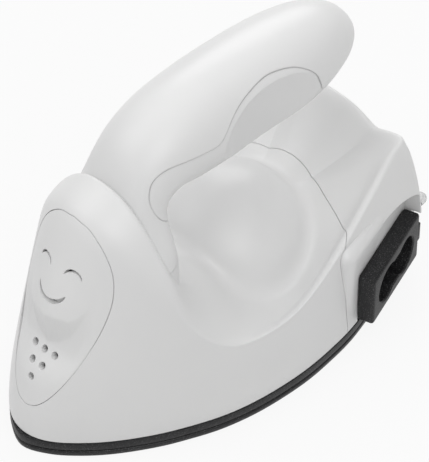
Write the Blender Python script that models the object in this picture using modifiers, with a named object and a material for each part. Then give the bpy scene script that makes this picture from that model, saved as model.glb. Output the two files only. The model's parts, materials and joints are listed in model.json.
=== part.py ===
"""Mini craft iron: a small travel-size iron for craft work, modelled piece by piece.

The nose points to -Y, the heel to +Y, and the sole rests on Z = 0. The origin is the middle
of the sole. Lengths are in metres. Names ending in share or shares are fractions of a named size.
"""

import math

import bpy
import bmesh
from mathutils import Matrix, Vector
from mathutils.bvhtree import BVHTree

# Overall sizes of the body, without the inlet and the bumpers
BODY_LENGTH = 0.0920
BODY_WIDTH = 0.0570
NOSE_HEIGHT = 0.0568
BEHIND_SHARE = 1.2
GAP = 0.0003
OVERRUN = 0.0100
SHARP_ANGLE = math.radians(35)
SHELL_WALL = 0.0016
MERGE = 0.00001

# Sole stack, from the table up
FLANGE_THICKNESS = 0.0015
LAND_THICKNESS = 0.0030
LAND_SHARE = 0.67
SKIRT_HEIGHT = 0.0021
SKIRT_INNER_SHARE = 0.70
EDGE_ROUND = 0.0005

# Mound under the handle
DOME_RADIUS = 0.0184
DOME_CENTRE_HEIGHT = 0.0162
DOME_PLACE_SHARE = 0.627
DOME_RING_SHARES = (0.66, 0.28)

# Rim of the hull
LIP_SIZE = 0.0018
LIP_DROP = 0.0004

# Handle, on a foot behind the nose
HANDLE_HEIGHT = 0.0580
HANDLE_HALF_WIDTH = 0.0110
HANDLE_WALL = 0.0020
GRIP_RECESS = 0.0009
SCOOP_RADIUS = 0.0380
SCOOP_REACH = 0.0081
SCOOP_PLACE_SHARE = 0.663
SCOOP_WALL = 0.0014
SCOOP_HALF_LENGTH = 0.0190

# Oval face insert, on a plane tilted back with the nose
INSERT_WIDTH = 0.0224
INSERT_HEIGHT = 0.0446
INSERT_REACH = 0.0200
FACE_MIDDLE_HEIGHT = 0.0315
FACE_PLACE_SHARE = 0.109
FACE_TILT = math.radians(16.0)
VENT_RADIUS = 0.0009
VENT_PITCH = 0.0027
VENT_ROW_PITCH = 0.0034
VENT_TOP = -0.0082
ARC_RADIUS = 0.0005
MASK_RISE = 0.0019
MASK_DEPTH = 0.0011
EYE_RADIUS = 0.0019
EYE_OFFSET = 0.0034
EYE_HEIGHT = 0.0104
SMILE_RADIUS = 0.0038
SMILE_HEIGHT = 0.0077

# Inlet, on a turned pad of the rear cover
INLET_LENGTH = 0.0227
INLET_HEIGHT = 0.0126
INLET_PROUD = 0.0039
INLET_DEPTH = 0.0070
INLET_ROUND = 0.0006
INLET_MIDDLE_HEIGHT = 0.0109
INLET_TURN = math.radians(18.4)
INLET_PLACE_SHARE = 0.8718
INLET_SIDE_SHARE = 0.7965
PIN_RADIUS = 0.0012
PIN_PITCH = 0.0086
PIN_LENGTH = 0.0125
PIN_SINK = 0.0020
SOCKET_RADIUS = 0.0044
SOCKET_WAIST = 0.0050
SOCKET_DEPTH = 0.0090
PAD_LENGTH = 0.0262
PAD_SHIFT = 0.0035
PAD_TOP = 0.0252
PAD_THICKNESS = 0.0060
PAD_ROUND = 0.0026

# Inside, from the sole's land up
SHEET_SHARE = 0.62
HEATER_THICKNESS = 0.0006
INSULATION_THICKNESS = 0.0004
CLAMP_THICKNESS = 0.0010
SCREW_RADIUS = 0.0012
SCREW_HEAD_RADIUS = 0.0024
SCREW_HEAD_HEIGHT = 0.0014
SKIRT_SCREW_REACH = 0.0050
BOSS_RADIUS = 0.0026
BOSS_TOP = 0.0105
HANDLE_SCREW_REACH = 0.0220
STUB_BOTTOM = 0.0260
FOOT_BOTTOM = 0.0395
RIVET_RADIUS = 0.0012
RIVET_HEIGHT = 0.0030
WIRE_RADIUS = 0.0008
STACK_SIZE = (0.0090, 0.0080, 0.0090)
BLADE_LENGTH = 0.0220
BLADE_WIDTH = 0.0050
BLADE_THICKNESS = 0.0005
FIXED_LENGTH_SHARE = 0.70
BIMETAL_HEIGHT = 0.0098
FIXED_HEIGHT = 0.0125
ARM_HEIGHT = 0.0148
CONTACT_RADIUS = 0.0014
CONTACT_HEIGHT = 0.0007
PUSH_PIN_RADIUS = 0.0010
FUSE_RADIUS = 0.0018
FUSE_LENGTH = 0.0100
FUSE_SLEEVE_RADIUS = 0.0029
FUSE_SLEEVE_LENGTH = 0.0150

# Places in plan: x as a share of the half width, y of the length
CLAMP_SCREW_SHARES = ((0.0, 0.27), (0.44, 0.62), (-0.44, 0.62))
SKIRT_SCREW_SHARES = ((0.45, 0.17), (-0.45, 0.17), (0.84, 0.50), (-0.84, 0.50), (0.20, 0.975), (-0.70, 0.93))
RIVET_SHARES = ((0.34, 0.40), (-0.24, 0.34))
HANDLE_SCREW_SHARES = ((0.24, 0.322), (-0.24, 0.322))
STACK_PLACE_SHARE = 0.74
FUSE_SHARES = (-0.44, 0.46)
BUMPER_SHARE = 0.73
BUMPER_HEIGHT = 0.0185
BUMPER_RADIUS = 0.0014
BUMPER_LENGTH = 0.0024

SOLE_TOP = FLANGE_THICKNESS + LAND_THICKNESS
SKIRT_BOTTOM = FLANGE_THICKNESS + GAP
SKIRT_TOP = SKIRT_BOTTOM + SKIRT_HEIGHT
SHELL_BOTTOM = SKIRT_TOP + GAP
HEATER_BOTTOM = SOLE_TOP + GAP
INSULATION_BOTTOM = HEATER_BOTTOM + HEATER_THICKNESS + GAP
CLAMP_BOTTOM = INSULATION_BOTTOM + INSULATION_THICKNESS + GAP
CLAMP_TOP = CLAMP_BOTTOM + CLAMP_THICKNESS
INNER_FLOOR = CLAMP_TOP + GAP

WHITE = (0.80, 0.80, 0.80)
BLACK = (0.018, 0.018, 0.020)
COATING = (0.05, 0.05, 0.055)
STEEL = (0.55, 0.55, 0.56)
BRASS = (0.62, 0.47, 0.20)
CLEAR_RUBBER = (0.75, 0.76, 0.76)
MICA = (0.42, 0.36, 0.26)
CERAMIC = (0.78, 0.76, 0.70)
SLEEVE_WHITE = (0.70, 0.70, 0.66)

# Stations round the hull, from the middle of the nose to the middle of the heel. Each row holds the
# bottom edge's x and y, the rim's x, y and z, the height of the mound's foot, and how far the two
# ledge rows drop below the straight line from rim to foot. x is a share of the half width, y of the
# length, and heights and drops are shares of the nose's height.
STATION_SHARES = (
    (0.000, 0.007, 0.000, 0.257, 1.000, 0.475, 0.254, 0.102),
    (0.193, 0.025, 0.196, 0.260, 0.977, 0.475, 0.238, 0.097),
    (0.368, 0.071, 0.379, 0.265, 0.898, 0.467, 0.178, 0.070),
    (0.526, 0.128, 0.519, 0.270, 0.792, 0.440, 0.105, 0.030),
    (0.684, 0.203, 0.621, 0.275, 0.695, 0.405, 0.020, 0.010),
    (0.793, 0.270, 0.733, 0.293, 0.518, 0.361, -0.018, 0.000),
    (0.895, 0.348, 0.839, 0.363, 0.379, 0.335, 0.005, 0.005),
    (0.968, 0.446, 0.898, 0.443, 0.343, 0.320, 0.014, 0.016),
    (1.000, 0.565, 0.930, 0.549, 0.347, 0.317, 0.014, 0.016),
    (0.982, 0.663, 0.909, 0.641, 0.405, 0.326, 0.014, 0.016),
    (0.947, 0.739, 0.856, 0.732, 0.463, 0.352, 0.014, 0.014),
    (0.877, 0.826, 0.772, 0.826, 0.516, 0.384, 0.010, 0.008),
    (0.825, 0.913, 0.705, 0.908, 0.581, 0.412, 0.020, 0.012),
    (0.790, 0.985, 0.690, 0.950, 0.640, 0.430, 0.026, 0.018),
    (0.775, 1.018, 0.680, 0.985, 0.668, 0.444, 0.012, 0.018),
    (0.456, 1.010, 0.421, 0.976, 0.640, 0.456, 0.014, 0.022),
    (0.228, 1.010, 0.211, 0.976, 0.679, 0.463, 0.006, 0.028),
    (0.000, 1.010, 0.000, 0.976, 0.686, 0.467, 0.012, 0.033),
)
# Direction of each station from the mound's middle, as a share of the half turn from nose to heel.
TURN_SHARES = (
    0.00, 0.07, 0.12, 0.18, 0.23, 0.29, 0.35, 0.42, 0.49,
    0.56, 0.62, 0.69, 0.75, 0.81, 0.87, 0.91, 0.955, 1.00,
)
WALL_HEIGHT_SHARES = (0.0, 0.22, 0.55, 0.86, 0.965, 1.0)
NOSE_SETBACK_SHARES = (0.0, 0.090, 0.335, 0.60, 0.76, 1.0)
NOSE_WEIGHT_SHARES = (1.0, 1.0, 0.9, 0.7, 0.4, 0.1)
LEDGE_SHARES = (0.30, 0.72)
SMALL_ROWS = (3, 4, 6)
LEDGE_ROW = 7
FOOT_STATIONS = 4
CREASE_STATION = 15
CREASE_ROWS = (4, 5, 6, 7, 8)
CREASE_SHARE = 0.85
FOOT_SETBACK = 0.0025
SHELL_FACTOR_LIMIT = 1.5
# How late the wall starts to lean in on its way up, for the stations from the inlet to the heel.
LEAN_POWERS = {11: 1.4, 12: 2.0, 13: 2.5, 14: 2.5, 15: 2.5, 16: 2.5, 17: 2.5}

# Handle sections from the foot's end to the tip. Each row holds the centre's y as a share of the
# length and z as a share of the handle's height, the spine's slope in degrees, the half width, the
# reach to the outer side and to the inner side as shares of the handle's half width, and how much
# wider the outer side is than the inner.
HANDLE_SECTIONS = (
    (0.322, 0.300, 90, 1.24, 0.40, 0.38, 0.10),
    (0.322, 0.500, 90, 1.25, 0.41, 0.38, 0.12),
    (0.321, 0.681, 90, 1.32, 0.41, 0.38, 0.12),
    (0.319, 0.776, 88, 1.08, 0.44, 0.39, 0.10),
    (0.328, 0.871, 74, 0.83, 0.56, 0.40, 0.03),
    (0.367, 0.953, 42, 0.87, 0.84, 0.60, 0.00),
    (0.435, 0.993, 10, 0.94, 0.96, 0.94, 0.00),
    (0.550, 1.000, 0, 0.99, 0.98, 0.98, 0.00),
    (0.700, 0.999, 0, 1.01, 0.95, 0.99, 0.00),
    (0.825, 0.993, 0, 0.95, 0.87, 0.96, 0.00),
    (0.895, 0.990, 0, 0.80, 0.78, 0.83, 0.00),
    (0.952, 0.986, 0, 0.60, 0.57, 0.63, 0.00),
    (0.988, 0.983, 0, 0.34, 0.31, 0.35, 0.00),
)
SECTION_POINTS = 7
CAGE_SWELL_SHARE = 1.045
COLUMN_SQUARE_SHARE = 0.55

# Region of the handle's lower shell, seen from the side: y and z as above. It starts behind the foot,
# wraps the crook, rises over the thumb scoop and runs out at the tip.
LOWER_REGION_SHARES = (
    (0.402, 0.784), (0.353, 0.819), (0.321, 0.871), (0.311, 0.940), (0.328, 1.000), (0.364, 1.028),
    (0.413, 1.028), (0.467, 1.022), (0.500, 1.026), (0.543, 1.081), (0.588, 1.112), (0.662, 1.128),
    (0.728, 1.109), (0.766, 1.076), (0.791, 1.034), (0.805, 0.979), (0.817, 0.941), (0.842, 0.936),
    (0.880, 0.945), (0.935, 0.953), (1.100, 0.953), (1.100, 0.680), (0.402, 0.680),
)
# Raised mask of the insert from its chin up: places up the face and half widths as shares of the
# insert's half height and half width, and how far it stands out as a share of the mask's rise.
MASK_SHARES = (
    (-0.29, 0.12, -0.30), (-0.17, 0.34, 0.45), (-0.03, 0.55, 1.00), (0.13, 0.68, 0.95), (0.40, 0.74, 0.60),
    (0.68, 0.64, 0.20), (0.88, 0.42, -0.30),
)
MASK_ACROSS_SHARES = ((0.0, 1.0), (0.62, 0.80), (1.0, -0.30))
# Right half of the insert's outline from its bottom to its top: shares of its half width and height.
OVAL_SHARES = (
    (0.00, -1.00), (0.22, -0.965), (0.44, -0.87), (0.66, -0.69), (0.87, -0.38), (0.97, -0.06),
    (1.00, 0.22), (0.96, 0.48), (0.87, 0.67), (0.72, 0.83), (0.43, 0.95), (0.00, 1.00),
)
# Seam between the body shell and the rear cover, seen from above: x as a share of the half width
# and y of the length.
REAR_SEAM_SHARES = (
    (0.000, 0.842), (0.190, 0.836), (0.370, 0.818), (0.596, 0.793), (0.790, 0.758), (0.900, 0.722),
    (1.100, 0.712),
)


def clear_scene():
    for item in list(bpy.data.objects):
        bpy.data.objects.remove(item, do_unlink=True)


def new_collection(name, shown):
    made = bpy.data.collections.new(name)
    made.hide_render = not shown
    bpy.context.scene.collection.children.link(made)
    return made


def material(name, colour, roughness, metallic=0.0):
    made = bpy.data.materials.new(name)
    made.use_nodes = True
    shader = made.node_tree.nodes["Principled BSDF"]
    shader.inputs["Base Color"].default_value = (*colour, 1.0)
    shader.inputs["Roughness"].default_value = roughness
    shader.inputs["Metallic"].default_value = metallic
    made.diffuse_color = (*colour, 1.0)
    return made


def along(share):
    """World y of a place given as a share of the body's length from the nose."""
    return (share - 0.5) * BODY_LENGTH


def plan_point(x_share, y_share, z=0.0):
    return Vector((x_share * BODY_WIDTH / 2, along(y_share), z))


def lerp(a, b, share):
    return a + (b - a) * share


def mesh_object(name, bm, group, finish=None):
    bmesh.ops.recalc_face_normals(bm, faces=bm.faces)
    mesh = bpy.data.meshes.new(name)
    bm.to_mesh(mesh)
    bm.free()
    made = bpy.data.objects.new(name, mesh)
    group.objects.link(made)
    if finish:
        mesh.materials.append(finish)
    if group is cutters:
        made.hide_render = True
        made.display_type = "WIRE"
    else:
        mesh.shade_smooth()
        mesh.set_sharp_from_angle(angle=SHARP_ANGLE)
    return made


def boolean(target, other, operation="DIFFERENCE"):
    modifier = target.modifiers.new(operation.title(), "BOOLEAN")
    modifier.operation = operation
    modifier.solver = "EXACT"
    modifier.object = other
    return modifier


def bevel(target, width, segments=2, angle=40):
    modifier = target.modifiers.new("Rounded edges", "BEVEL")
    modifier.width = width
    modifier.segments = segments
    modifier.limit_method = "ANGLE"
    modifier.angle_limit = math.radians(angle)
    return modifier


def mirror(target):
    modifier = target.modifiers.new("Mirror", "MIRROR")
    modifier.use_clip = True
    modifier.use_mirror_merge = True
    modifier.merge_threshold = MERGE


def subdivide(target, levels=1):
    modifier = target.modifiers.new("Subdivision", "SUBSURF")
    modifier.levels = levels
    modifier.render_levels = levels


def box(name, size, group, finish=None, place=None):
    bm = bmesh.new()
    bmesh.ops.create_cube(bm, size=1.0)
    bmesh.ops.scale(bm, vec=size, verts=bm.verts)
    made = mesh_object(name, bm, group, finish)
    made.matrix_world = place or Matrix()
    return made


def cylinder(name, radius, depth, group, finish=None, place=None, sides=24, top_radius=None):
    bm = bmesh.new()
    top = radius if top_radius is None else top_radius
    bmesh.ops.create_cone(
        bm, cap_ends=True, segments=sides, radius1=radius, radius2=top, depth=depth)
    made = mesh_object(name, bm, group, finish)
    made.matrix_world = place or Matrix()
    return made


def prism(name, outline, low, high, group, finish=None):
    """A straight prism over a plan outline, from height low to high."""
    bm = bmesh.new()
    corners = [bm.verts.new((p[0], p[1], low)) for p in outline]
    face = bm.faces.new(corners)
    raised = bmesh.ops.extrude_face_region(bm, geom=[face])
    tops = [item for item in raised["geom"] if isinstance(item, bmesh.types.BMVert)]
    bmesh.ops.translate(bm, vec=(0, 0, high - low), verts=tops)
    return mesh_object(name, bm, group, finish)


def side_prism(name, outline, half_width, group):
    """A prism along X over an outline given in y and z."""
    bm = bmesh.new()
    corners = [bm.verts.new((-half_width, p[0], p[1])) for p in outline]
    face = bm.faces.new(corners)
    raised = bmesh.ops.extrude_face_region(bm, geom=[face])
    tops = [item for item in raised["geom"] if isinstance(item, bmesh.types.BMVert)]
    bmesh.ops.translate(bm, vec=(half_width * 2, 0, 0), verts=tops)
    return mesh_object(name, bm, group)


def revolve(name, profile, group, finish=None, place=None, steps=20):
    """A turned solid: the profile runs from the top of the axis down its outer side to the bottom."""
    bm = bmesh.new()
    corners = [bm.verts.new((r, 0, z)) for r, z in profile]
    for a, b in zip(corners, corners[1:]):
        bm.edges.new((a, b))
    mesh = bpy.data.meshes.new(name)
    bm.to_mesh(mesh)
    bm.free()
    made = bpy.data.objects.new(name, mesh)
    group.objects.link(made)
    modifier = made.modifiers.new("Turned", "SCREW")
    modifier.steps = steps
    modifier.render_steps = steps
    modifier.use_merge_vertices = True
    modifier.merge_threshold = MERGE
    if finish:
        mesh.materials.append(finish)
    made.matrix_world = place or Matrix()
    return made


def as_mesh(curve_object):
    """Turns a curve object into a mesh object with welded caps, under the same name."""
    bpy.context.view_layer.update()
    graph = bpy.context.evaluated_depsgraph_get()
    mesh = bpy.data.meshes.new_from_object(curve_object.evaluated_get(graph))
    bm = bmesh.new()
    bm.from_mesh(mesh)
    bmesh.ops.remove_doubles(bm, verts=bm.verts, dist=MERGE)
    bmesh.ops.recalc_face_normals(bm, faces=bm.faces)
    bm.to_mesh(mesh)
    bm.free()
    name = curve_object.name
    group = curve_object.users_collection[0]
    place = curve_object.matrix_world.copy()
    bpy.data.objects.remove(curve_object, do_unlink=True)
    made = bpy.data.objects.new(name, mesh)
    made.matrix_world = place
    group.objects.link(made)
    return made


def tube(name, route, radius, group, finish):
    """A round rod along a route."""
    curve = bpy.data.curves.new(name, "CURVE")
    curve.dimensions = "3D"
    curve.bevel_depth = radius
    curve.bevel_resolution = 1
    curve.use_fill_caps = True
    spline = curve.splines.new("POLY")
    spline.points.add(len(route) - 1)
    for point, place in zip(spline.points, route):
        point.co = (*place, 1)
    made = bpy.data.objects.new(name, curve)
    group.objects.link(made)
    curve.materials.append(finish)
    return made


def smooth_route(points, steps):
    """Catmull-Rom points through a hand-set route."""
    ends = [points[0] * 2 - points[1], *points, points[-1] * 2 - points[-2]]
    route = []
    for a, b, c, d in zip(ends, ends[1:], ends[2:], ends[3:]):
        for step in range(steps):
            t = step / steps
            route.append(
                b + (c - a) * t / 2 + (a * 2 - b * 5 + c * 4 - d) * t ** 2 / 2
                + (b * 3 - a - c * 3 + d) * t ** 3 / 2)
    return [*route, points[-1]]


def sole_outline(share=1.0):
    """Plan outline of the sole, all the way round, drawn in towards its middle by a share."""
    half = [plan_point(row[0], row[1]) for row in STATION_SHARES]
    half[0] = plan_point(0.0, 0.0)
    left = [Vector((-p.x, p.y, 0)) for p in reversed(half[1:-1])]
    return [p * share for p in (*half, *left)]


def station_path(index):
    """Points of one station, from the shell's bottom edge over the rim to the top of the mound."""
    foot_x, foot_y, rim_x, rim_y, rim_z, dome_z, drop_top, drop_low = STATION_SHARES[index]
    weight = NOSE_WEIGHT_SHARES[index] if index < len(NOSE_WEIGHT_SHARES) else 0.0
    bottom = plan_point(foot_x, foot_y, SHELL_BOTTOM)
    rim = plan_point(rim_x, rim_y, rim_z * NOSE_HEIGHT)
    path = []
    for height, setback in zip(WALL_HEIGHT_SHARES, NOSE_SETBACK_SHARES):
        lean = height ** LEAN_POWERS.get(index, 1.0)
        back = lerp(lean, setback, weight)
        path.append(Vector((
            lerp(bottom.x, rim.x, lean), lerp(bottom.y, rim.y, back), lerp(bottom.z, rim.z, height))))
    middle = Vector((0, along(DOME_PLACE_SHARE), DOME_CENTRE_HEIGHT))
    turn = math.pi * TURN_SHARES[index]
    outward = Vector((math.sin(turn), -math.cos(turn), 0))
    foot_angle = math.acos((dome_z * NOSE_HEIGHT - middle.z) / DOME_RADIUS)
    foot = middle + DOME_RADIUS * (outward * math.sin(foot_angle) + Vector((0, 0, math.cos(foot_angle))))
    inward = (foot - rim).to_2d().normalized().to_3d()
    path.append(rim + inward * LIP_SIZE - Vector((0, 0, LIP_DROP)))
    for share, drop in zip(LEDGE_SHARES, (drop_top, drop_low)):
        path.append(rim.lerp(foot, share) - Vector((0, 0, drop * NOSE_HEIGHT)))
    for ring in (1.0, *DOME_RING_SHARES):
        angle = foot_angle * ring
        path.append(middle + DOME_RADIUS * (outward * math.sin(angle) + Vector((0, 0, math.cos(angle)))))
    return path


def hull_cage(name, group, finish=None, inset=0.0):
    """The hull's outer form as a closed solid, from a mirrored half cage that is rounded afterwards.

    With an inset it is the plain inner form of the wall instead, without the small rows at the rim,
    and it reaches lower, so that the two leave the wall open at its bottom edge.
    """
    left_out = SMALL_ROWS if inset else ()
    bm = bmesh.new()
    grid = []
    for index in range(len(STATION_SHARES)):
        path = station_path(index)
        if inset and index < FOOT_STATIONS:
            path[LEDGE_ROW].y += FOOT_SETBACK
        path = [p for row, p in enumerate(path) if row not in left_out]
        path.insert(0, path[0] - Vector((0, 0, OVERRUN * 2 if inset else OVERRUN)))
        grid.append([bm.verts.new(p) for p in path])
    for here, there in zip(grid, grid[1:]):
        for row in range(len(here) - 1):
            bm.faces.new((here[row], there[row], there[row + 1], here[row + 1]))
    if not inset:
        crease = bm.edges.layers.float.new("crease_edge")
        for row in CREASE_ROWS:
            column = grid[CREASE_STATION]
            bm.edges.get((column[row + 1], column[row + 2]))[crease] = CREASE_SHARE
    top = bm.verts.new((0, along(DOME_PLACE_SHARE), DOME_CENTRE_HEIGHT + DOME_RADIUS))
    for here, there in zip(grid, grid[1:]):
        bm.faces.new((here[-1], there[-1], top))
    if inset:
        move_inwards(bm, inset)
    bm.faces.new([column[0] for column in grid])
    made = mesh_object(name, bm, group, finish)
    mirror(made)
    if not inset:
        subdivide(made)
    return made


def move_inwards(bm, inset):
    """Moves a half cage's points in by the wall's thickness, and keeps its middle on the plane X = 0."""
    bm.normal_update()
    moves = []
    for vertex in bm.verts:
        normal = vertex.normal.copy()
        if abs(vertex.co.x) < MERGE:
            normal.x = 0.0
        moves.append(normal.normalized() * min(vertex.calc_shell_factor(), SHELL_FACTOR_LIMIT) * inset)
    for vertex, move in zip(bm.verts, moves):
        vertex.co -= move


def hollow_hull(name):
    """The whole outer shell: the outer form less the inner one, still too deep at its bottom edge."""
    made = hull_cage(name, parts, white_plastic)
    boolean(made, bpy.data.objects["hull_inside"])
    return made


def handle_ring(row, grow, recess):
    """Right half of one handle section, from its outer side round to its inner side."""
    y, z, slope, width, outer, inner, flare = row
    centre = Vector((0, along(y), z * HANDLE_HEIGHT))
    slope = math.radians(slope)
    normal = Vector((0, -math.sin(slope), math.cos(slope)))
    column = max(0.0, (slope - math.radians(50)) / math.radians(40))
    power = 1.0 - COLUMN_SQUARE_SHARE * column
    points = []
    for step in range(SECTION_POINTS):
        angle = math.pi / 2 - math.pi * step / (SECTION_POINTS - 1)
        across = math.copysign(abs(math.cos(angle)) ** power, math.cos(angle))
        height = math.copysign(abs(math.sin(angle)) ** power, math.sin(angle))
        if step in (0, SECTION_POINTS - 1):
            across = 0.0
        reach = (outer if height > 0 else inner) * HANDLE_HALF_WIDTH * CAGE_SWELL_SHARE + grow
        half_width = width * HANDLE_HALF_WIDTH * CAGE_SWELL_SHARE * (1 + flare * height) + grow
        half_width -= recess * (1.0 - column)
        points.append(centre + Vector((across * half_width, 0, 0)) + normal * height * reach)
    return points


def handle_form(name, group, finish=None, grow=0.0, recess=0.0):
    """Outer form of the handle with its foot: sections lofted along a bent spine.

    A negative growth gives the plain inner form, which stops one section before the tip.
    """
    sections = HANDLE_SECTIONS if grow >= 0 else HANDLE_SECTIONS[:-1]
    bm = bmesh.new()
    rings = [[bm.verts.new(p) for p in handle_ring(row, grow, recess)] for row in sections]
    for here, there in zip(rings, rings[1:]):
        for row in range(SECTION_POINTS - 1):
            bm.faces.new((here[row], there[row], there[row + 1], here[row + 1]))
    for ring in (rings[0], rings[-1]):
        bm.faces.new(ring)
    made = mesh_object(name, bm, group, finish)
    mirror(made)
    if grow >= 0:
        subdivide(made)
    return made


def guide(target):
    """Moves an object into the cutters' collection."""
    for group in list(target.users_collection):
        group.objects.unlink(target)
    cutters.objects.link(target)
    target.hide_render = True
    target.display_type = "WIRE"
    return target


def at(x_share, y_share, z=0.0):
    return Matrix.Translation(plan_point(x_share, y_share, z))


def tall(name, radius, low, high, group, finish=None, shares=(0.0, 0.5), sides=10):
    """An upright round piece between two heights, at a place in plan."""
    return cylinder(name, radius, high - low, group, finish, at(*shares, (low + high) / 2), sides)


def screw(name, radius, head_bottom, tip, shares, head_up=True):
    """A pan-head screw standing upright, its head at one end and its shank down to the tip."""
    sign = 1 if head_up else -1
    head_top = head_bottom + sign * SCREW_HEAD_HEIGHT
    profile = (
        (0.0, head_top), (SCREW_HEAD_RADIUS * 0.8, head_top), (SCREW_HEAD_RADIUS, head_bottom),
        (radius, head_bottom), (radius, tip + sign * radius), (0.0, tip))
    steps = 8
    bm = bmesh.new()
    rings = []
    for r, z in profile:
        turns = [0.0] if r == 0.0 else [2 * math.pi * step / steps for step in range(steps)]
        rings.append([bm.verts.new((r * math.cos(turn), r * math.sin(turn), z)) for turn in turns])
    for here, there in zip(rings, rings[1:]):
        for step in range(steps):
            corners = [
                here[step % len(here)], there[step % len(there)],
                there[(step + 1) % len(there)], here[(step + 1) % len(here)]]
            bm.faces.new(dict.fromkeys(corners))
    made = mesh_object(name, bm, parts, steel)
    made.matrix_world = at(*shares)


# Sole and skirt
def make_soleplate():
    sole = prism("soleplate", sole_outline(), 0.0, FLANGE_THICKNESS, parts, sole_coating)
    bevel(sole, EDGE_ROUND)
    boolean(sole, prism("sole_land", sole_outline(LAND_SHARE), EDGE_ROUND, SOLE_TOP, cutters), "UNION")
    for index, shares in enumerate(CLAMP_SCREW_SHARES):
        boolean(sole, tall(
            f"sole_hole_{index + 1}", SCREW_RADIUS + GAP, FLANGE_THICKNESS, SOLE_TOP + OVERRUN, cutters,
            shares=shares))


def make_skirt():
    skirt = prism("heat_skirt", sole_outline(), SKIRT_BOTTOM, SKIRT_TOP, parts, black_plastic)
    boolean(skirt, prism(
        "skirt_opening", sole_outline(SKIRT_INNER_SHARE), SKIRT_BOTTOM - OVERRUN, SKIRT_TOP + OVERRUN, cutters))
    for index, shares in enumerate(SKIRT_SCREW_SHARES):
        boolean(skirt, tall(
            f"skirt_hole_{index + 1}", SCREW_RADIUS + GAP, SKIRT_BOTTOM - OVERRUN, SKIRT_TOP + OVERRUN, cutters,
            shares=shares))
        boolean(skirt, tall(
            f"skirt_head_recess_{index + 1}", SCREW_HEAD_RADIUS + GAP, SKIRT_BOTTOM - OVERRUN,
            SKIRT_BOTTOM + SCREW_HEAD_HEIGHT + GAP, cutters, shares=shares))


# Hull: body shell and rear cover
def rear_region(name, shift):
    """Everything behind the seam, seen from above; a shift moves the seam towards the nose."""
    half = [plan_point(*shares) for shares in REAR_SEAM_SHARES]
    far = plan_point(REAR_SEAM_SHARES[-1][0], BEHIND_SHARE)
    outline = [*half, far]
    outline += [Vector((-p.x, p.y, 0)) for p in reversed(outline[1:])]
    moved = [p - Vector((0, shift, 0)) for p in outline]
    return prism(name, moved, -OVERRUN, NOSE_HEIGHT + OVERRUN, cutters)


def add_bosses(target, chosen):
    """Screw bosses inside a shell, then its level bottom edge, then the holes in the bosses."""
    for index in chosen:
        boolean(target, tall(
            f"boss_{index + 1}", BOSS_RADIUS, SKIRT_BOTTOM, BOSS_TOP, cutters,
            shares=SKIRT_SCREW_SHARES[index]), "UNION")
    boolean(target, bpy.data.objects["below_shell"])
    for index in chosen:
        boolean(target, tall(
            f"boss_hole_{index + 1}", SCREW_RADIUS + GAP, -OVERRUN, SHELL_BOTTOM + SKIRT_SCREW_REACH, cutters,
            shares=SKIRT_SCREW_SHARES[index]))


def pad_place(along_wall, outward, z):
    """A place on the inlet's turned frame: X points out of the wall, Y along it to the heel."""
    middle = plan_point(INLET_SIDE_SHARE, INLET_PLACE_SHARE)
    turn = Matrix.Rotation(INLET_TURN, 4, "Z")
    return Matrix.Translation(middle) @ turn @ Matrix.Translation((outward, along_wall, z))


def inlet_pad(name, grow):
    """The raised pad round the inlet."""
    pad = box(
        name, (PAD_THICKNESS + grow * 2, PAD_LENGTH + grow * 2, PAD_TOP + grow * 2), cutters,
        place=pad_place(-PAD_SHIFT, -PAD_THICKNESS / 2, PAD_TOP / 2))
    bevel(pad, PAD_ROUND + grow, 3)
    return pad


def make_body_shell():
    shell = hollow_hull("body_shell")
    boolean(shell, rear_region("rear_region_cutter", GAP))
    boolean(shell, inlet_pad("inlet_pad_cutter", GAP))
    stub = handle_form("handle_stub", cutters)
    below = box("stub_bottom_cutter", (BODY_WIDTH, BODY_LENGTH, STUB_BOTTOM), cutters)
    below.location = (0, 0, STUB_BOTTOM / 2)
    above = box("stub_top_cutter", (BODY_WIDTH, BODY_LENGTH * 2, NOSE_HEIGHT), cutters)
    above.location = (0, 0, FOOT_BOTTOM + NOSE_HEIGHT / 2 + GAP)
    boolean(stub, below)
    boolean(stub, above)
    boolean(shell, stub, "UNION")
    seat = handle_form("handle_seat_cutter", cutters, grow=GAP)
    under = box("seat_floor_cutter", (BODY_WIDTH, BODY_LENGTH, FOOT_BOTTOM), cutters)
    under.location = (0, 0, FOOT_BOTTOM / 2 - GAP)
    boolean(seat, under)
    boolean(shell, seat)
    boolean(shell, oval_prism("insert_seat_cutter", GAP))
    for index, shares in enumerate(HANDLE_SCREW_SHARES):
        boolean(shell, tall(
            f"stub_hole_{index + 1}", SCREW_RADIUS + GAP, STUB_BOTTOM - OVERRUN, FOOT_BOTTOM + OVERRUN, cutters,
            shares=shares))
    add_bosses(shell, range(4))


def make_rear_cover():
    cover = hollow_hull("rear_cover")
    boolean(cover, rear_region("rear_region_guide", 0.0), "INTERSECT")
    boolean(cover, inlet_pad("inlet_pad", 0.0), "UNION")
    clear = box(
        "pad_face_cutter", (PAD_THICKNESS, INLET_LENGTH + GAP * 2, PAD_TOP), cutters,
        place=pad_place(0, PAD_THICKNESS / 2, PAD_TOP / 2 - PAD_ROUND))
    bevel(clear, PAD_ROUND / 2)
    boolean(cover, clear)
    bore = box(
        "inlet_hole_cutter", (PAD_THICKNESS * 4, *inlet_core_size(GAP)), cutters,
        place=pad_place(0, -PAD_THICKNESS, INLET_MIDDLE_HEIGHT))
    boolean(cover, bore)
    add_bosses(cover, range(4, 6))


# Handle
def lower_region(name, grow):
    """The lower shell's region seen from the side, from one flank to the other."""
    places = smooth_route([Vector((along(y), z * HANDLE_HEIGHT, 0)) for y, z in LOWER_REGION_SHARES], 2)
    outline = []
    for before, here, after in zip([places[-1], *places], places, [*places[1:], places[0]]):
        tangent = (after - before).normalized()
        outline.append(here + Vector((-tangent.y, tangent.x, 0)) * grow)
    return side_prism(name, outline, BODY_WIDTH / 2, cutters)


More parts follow.
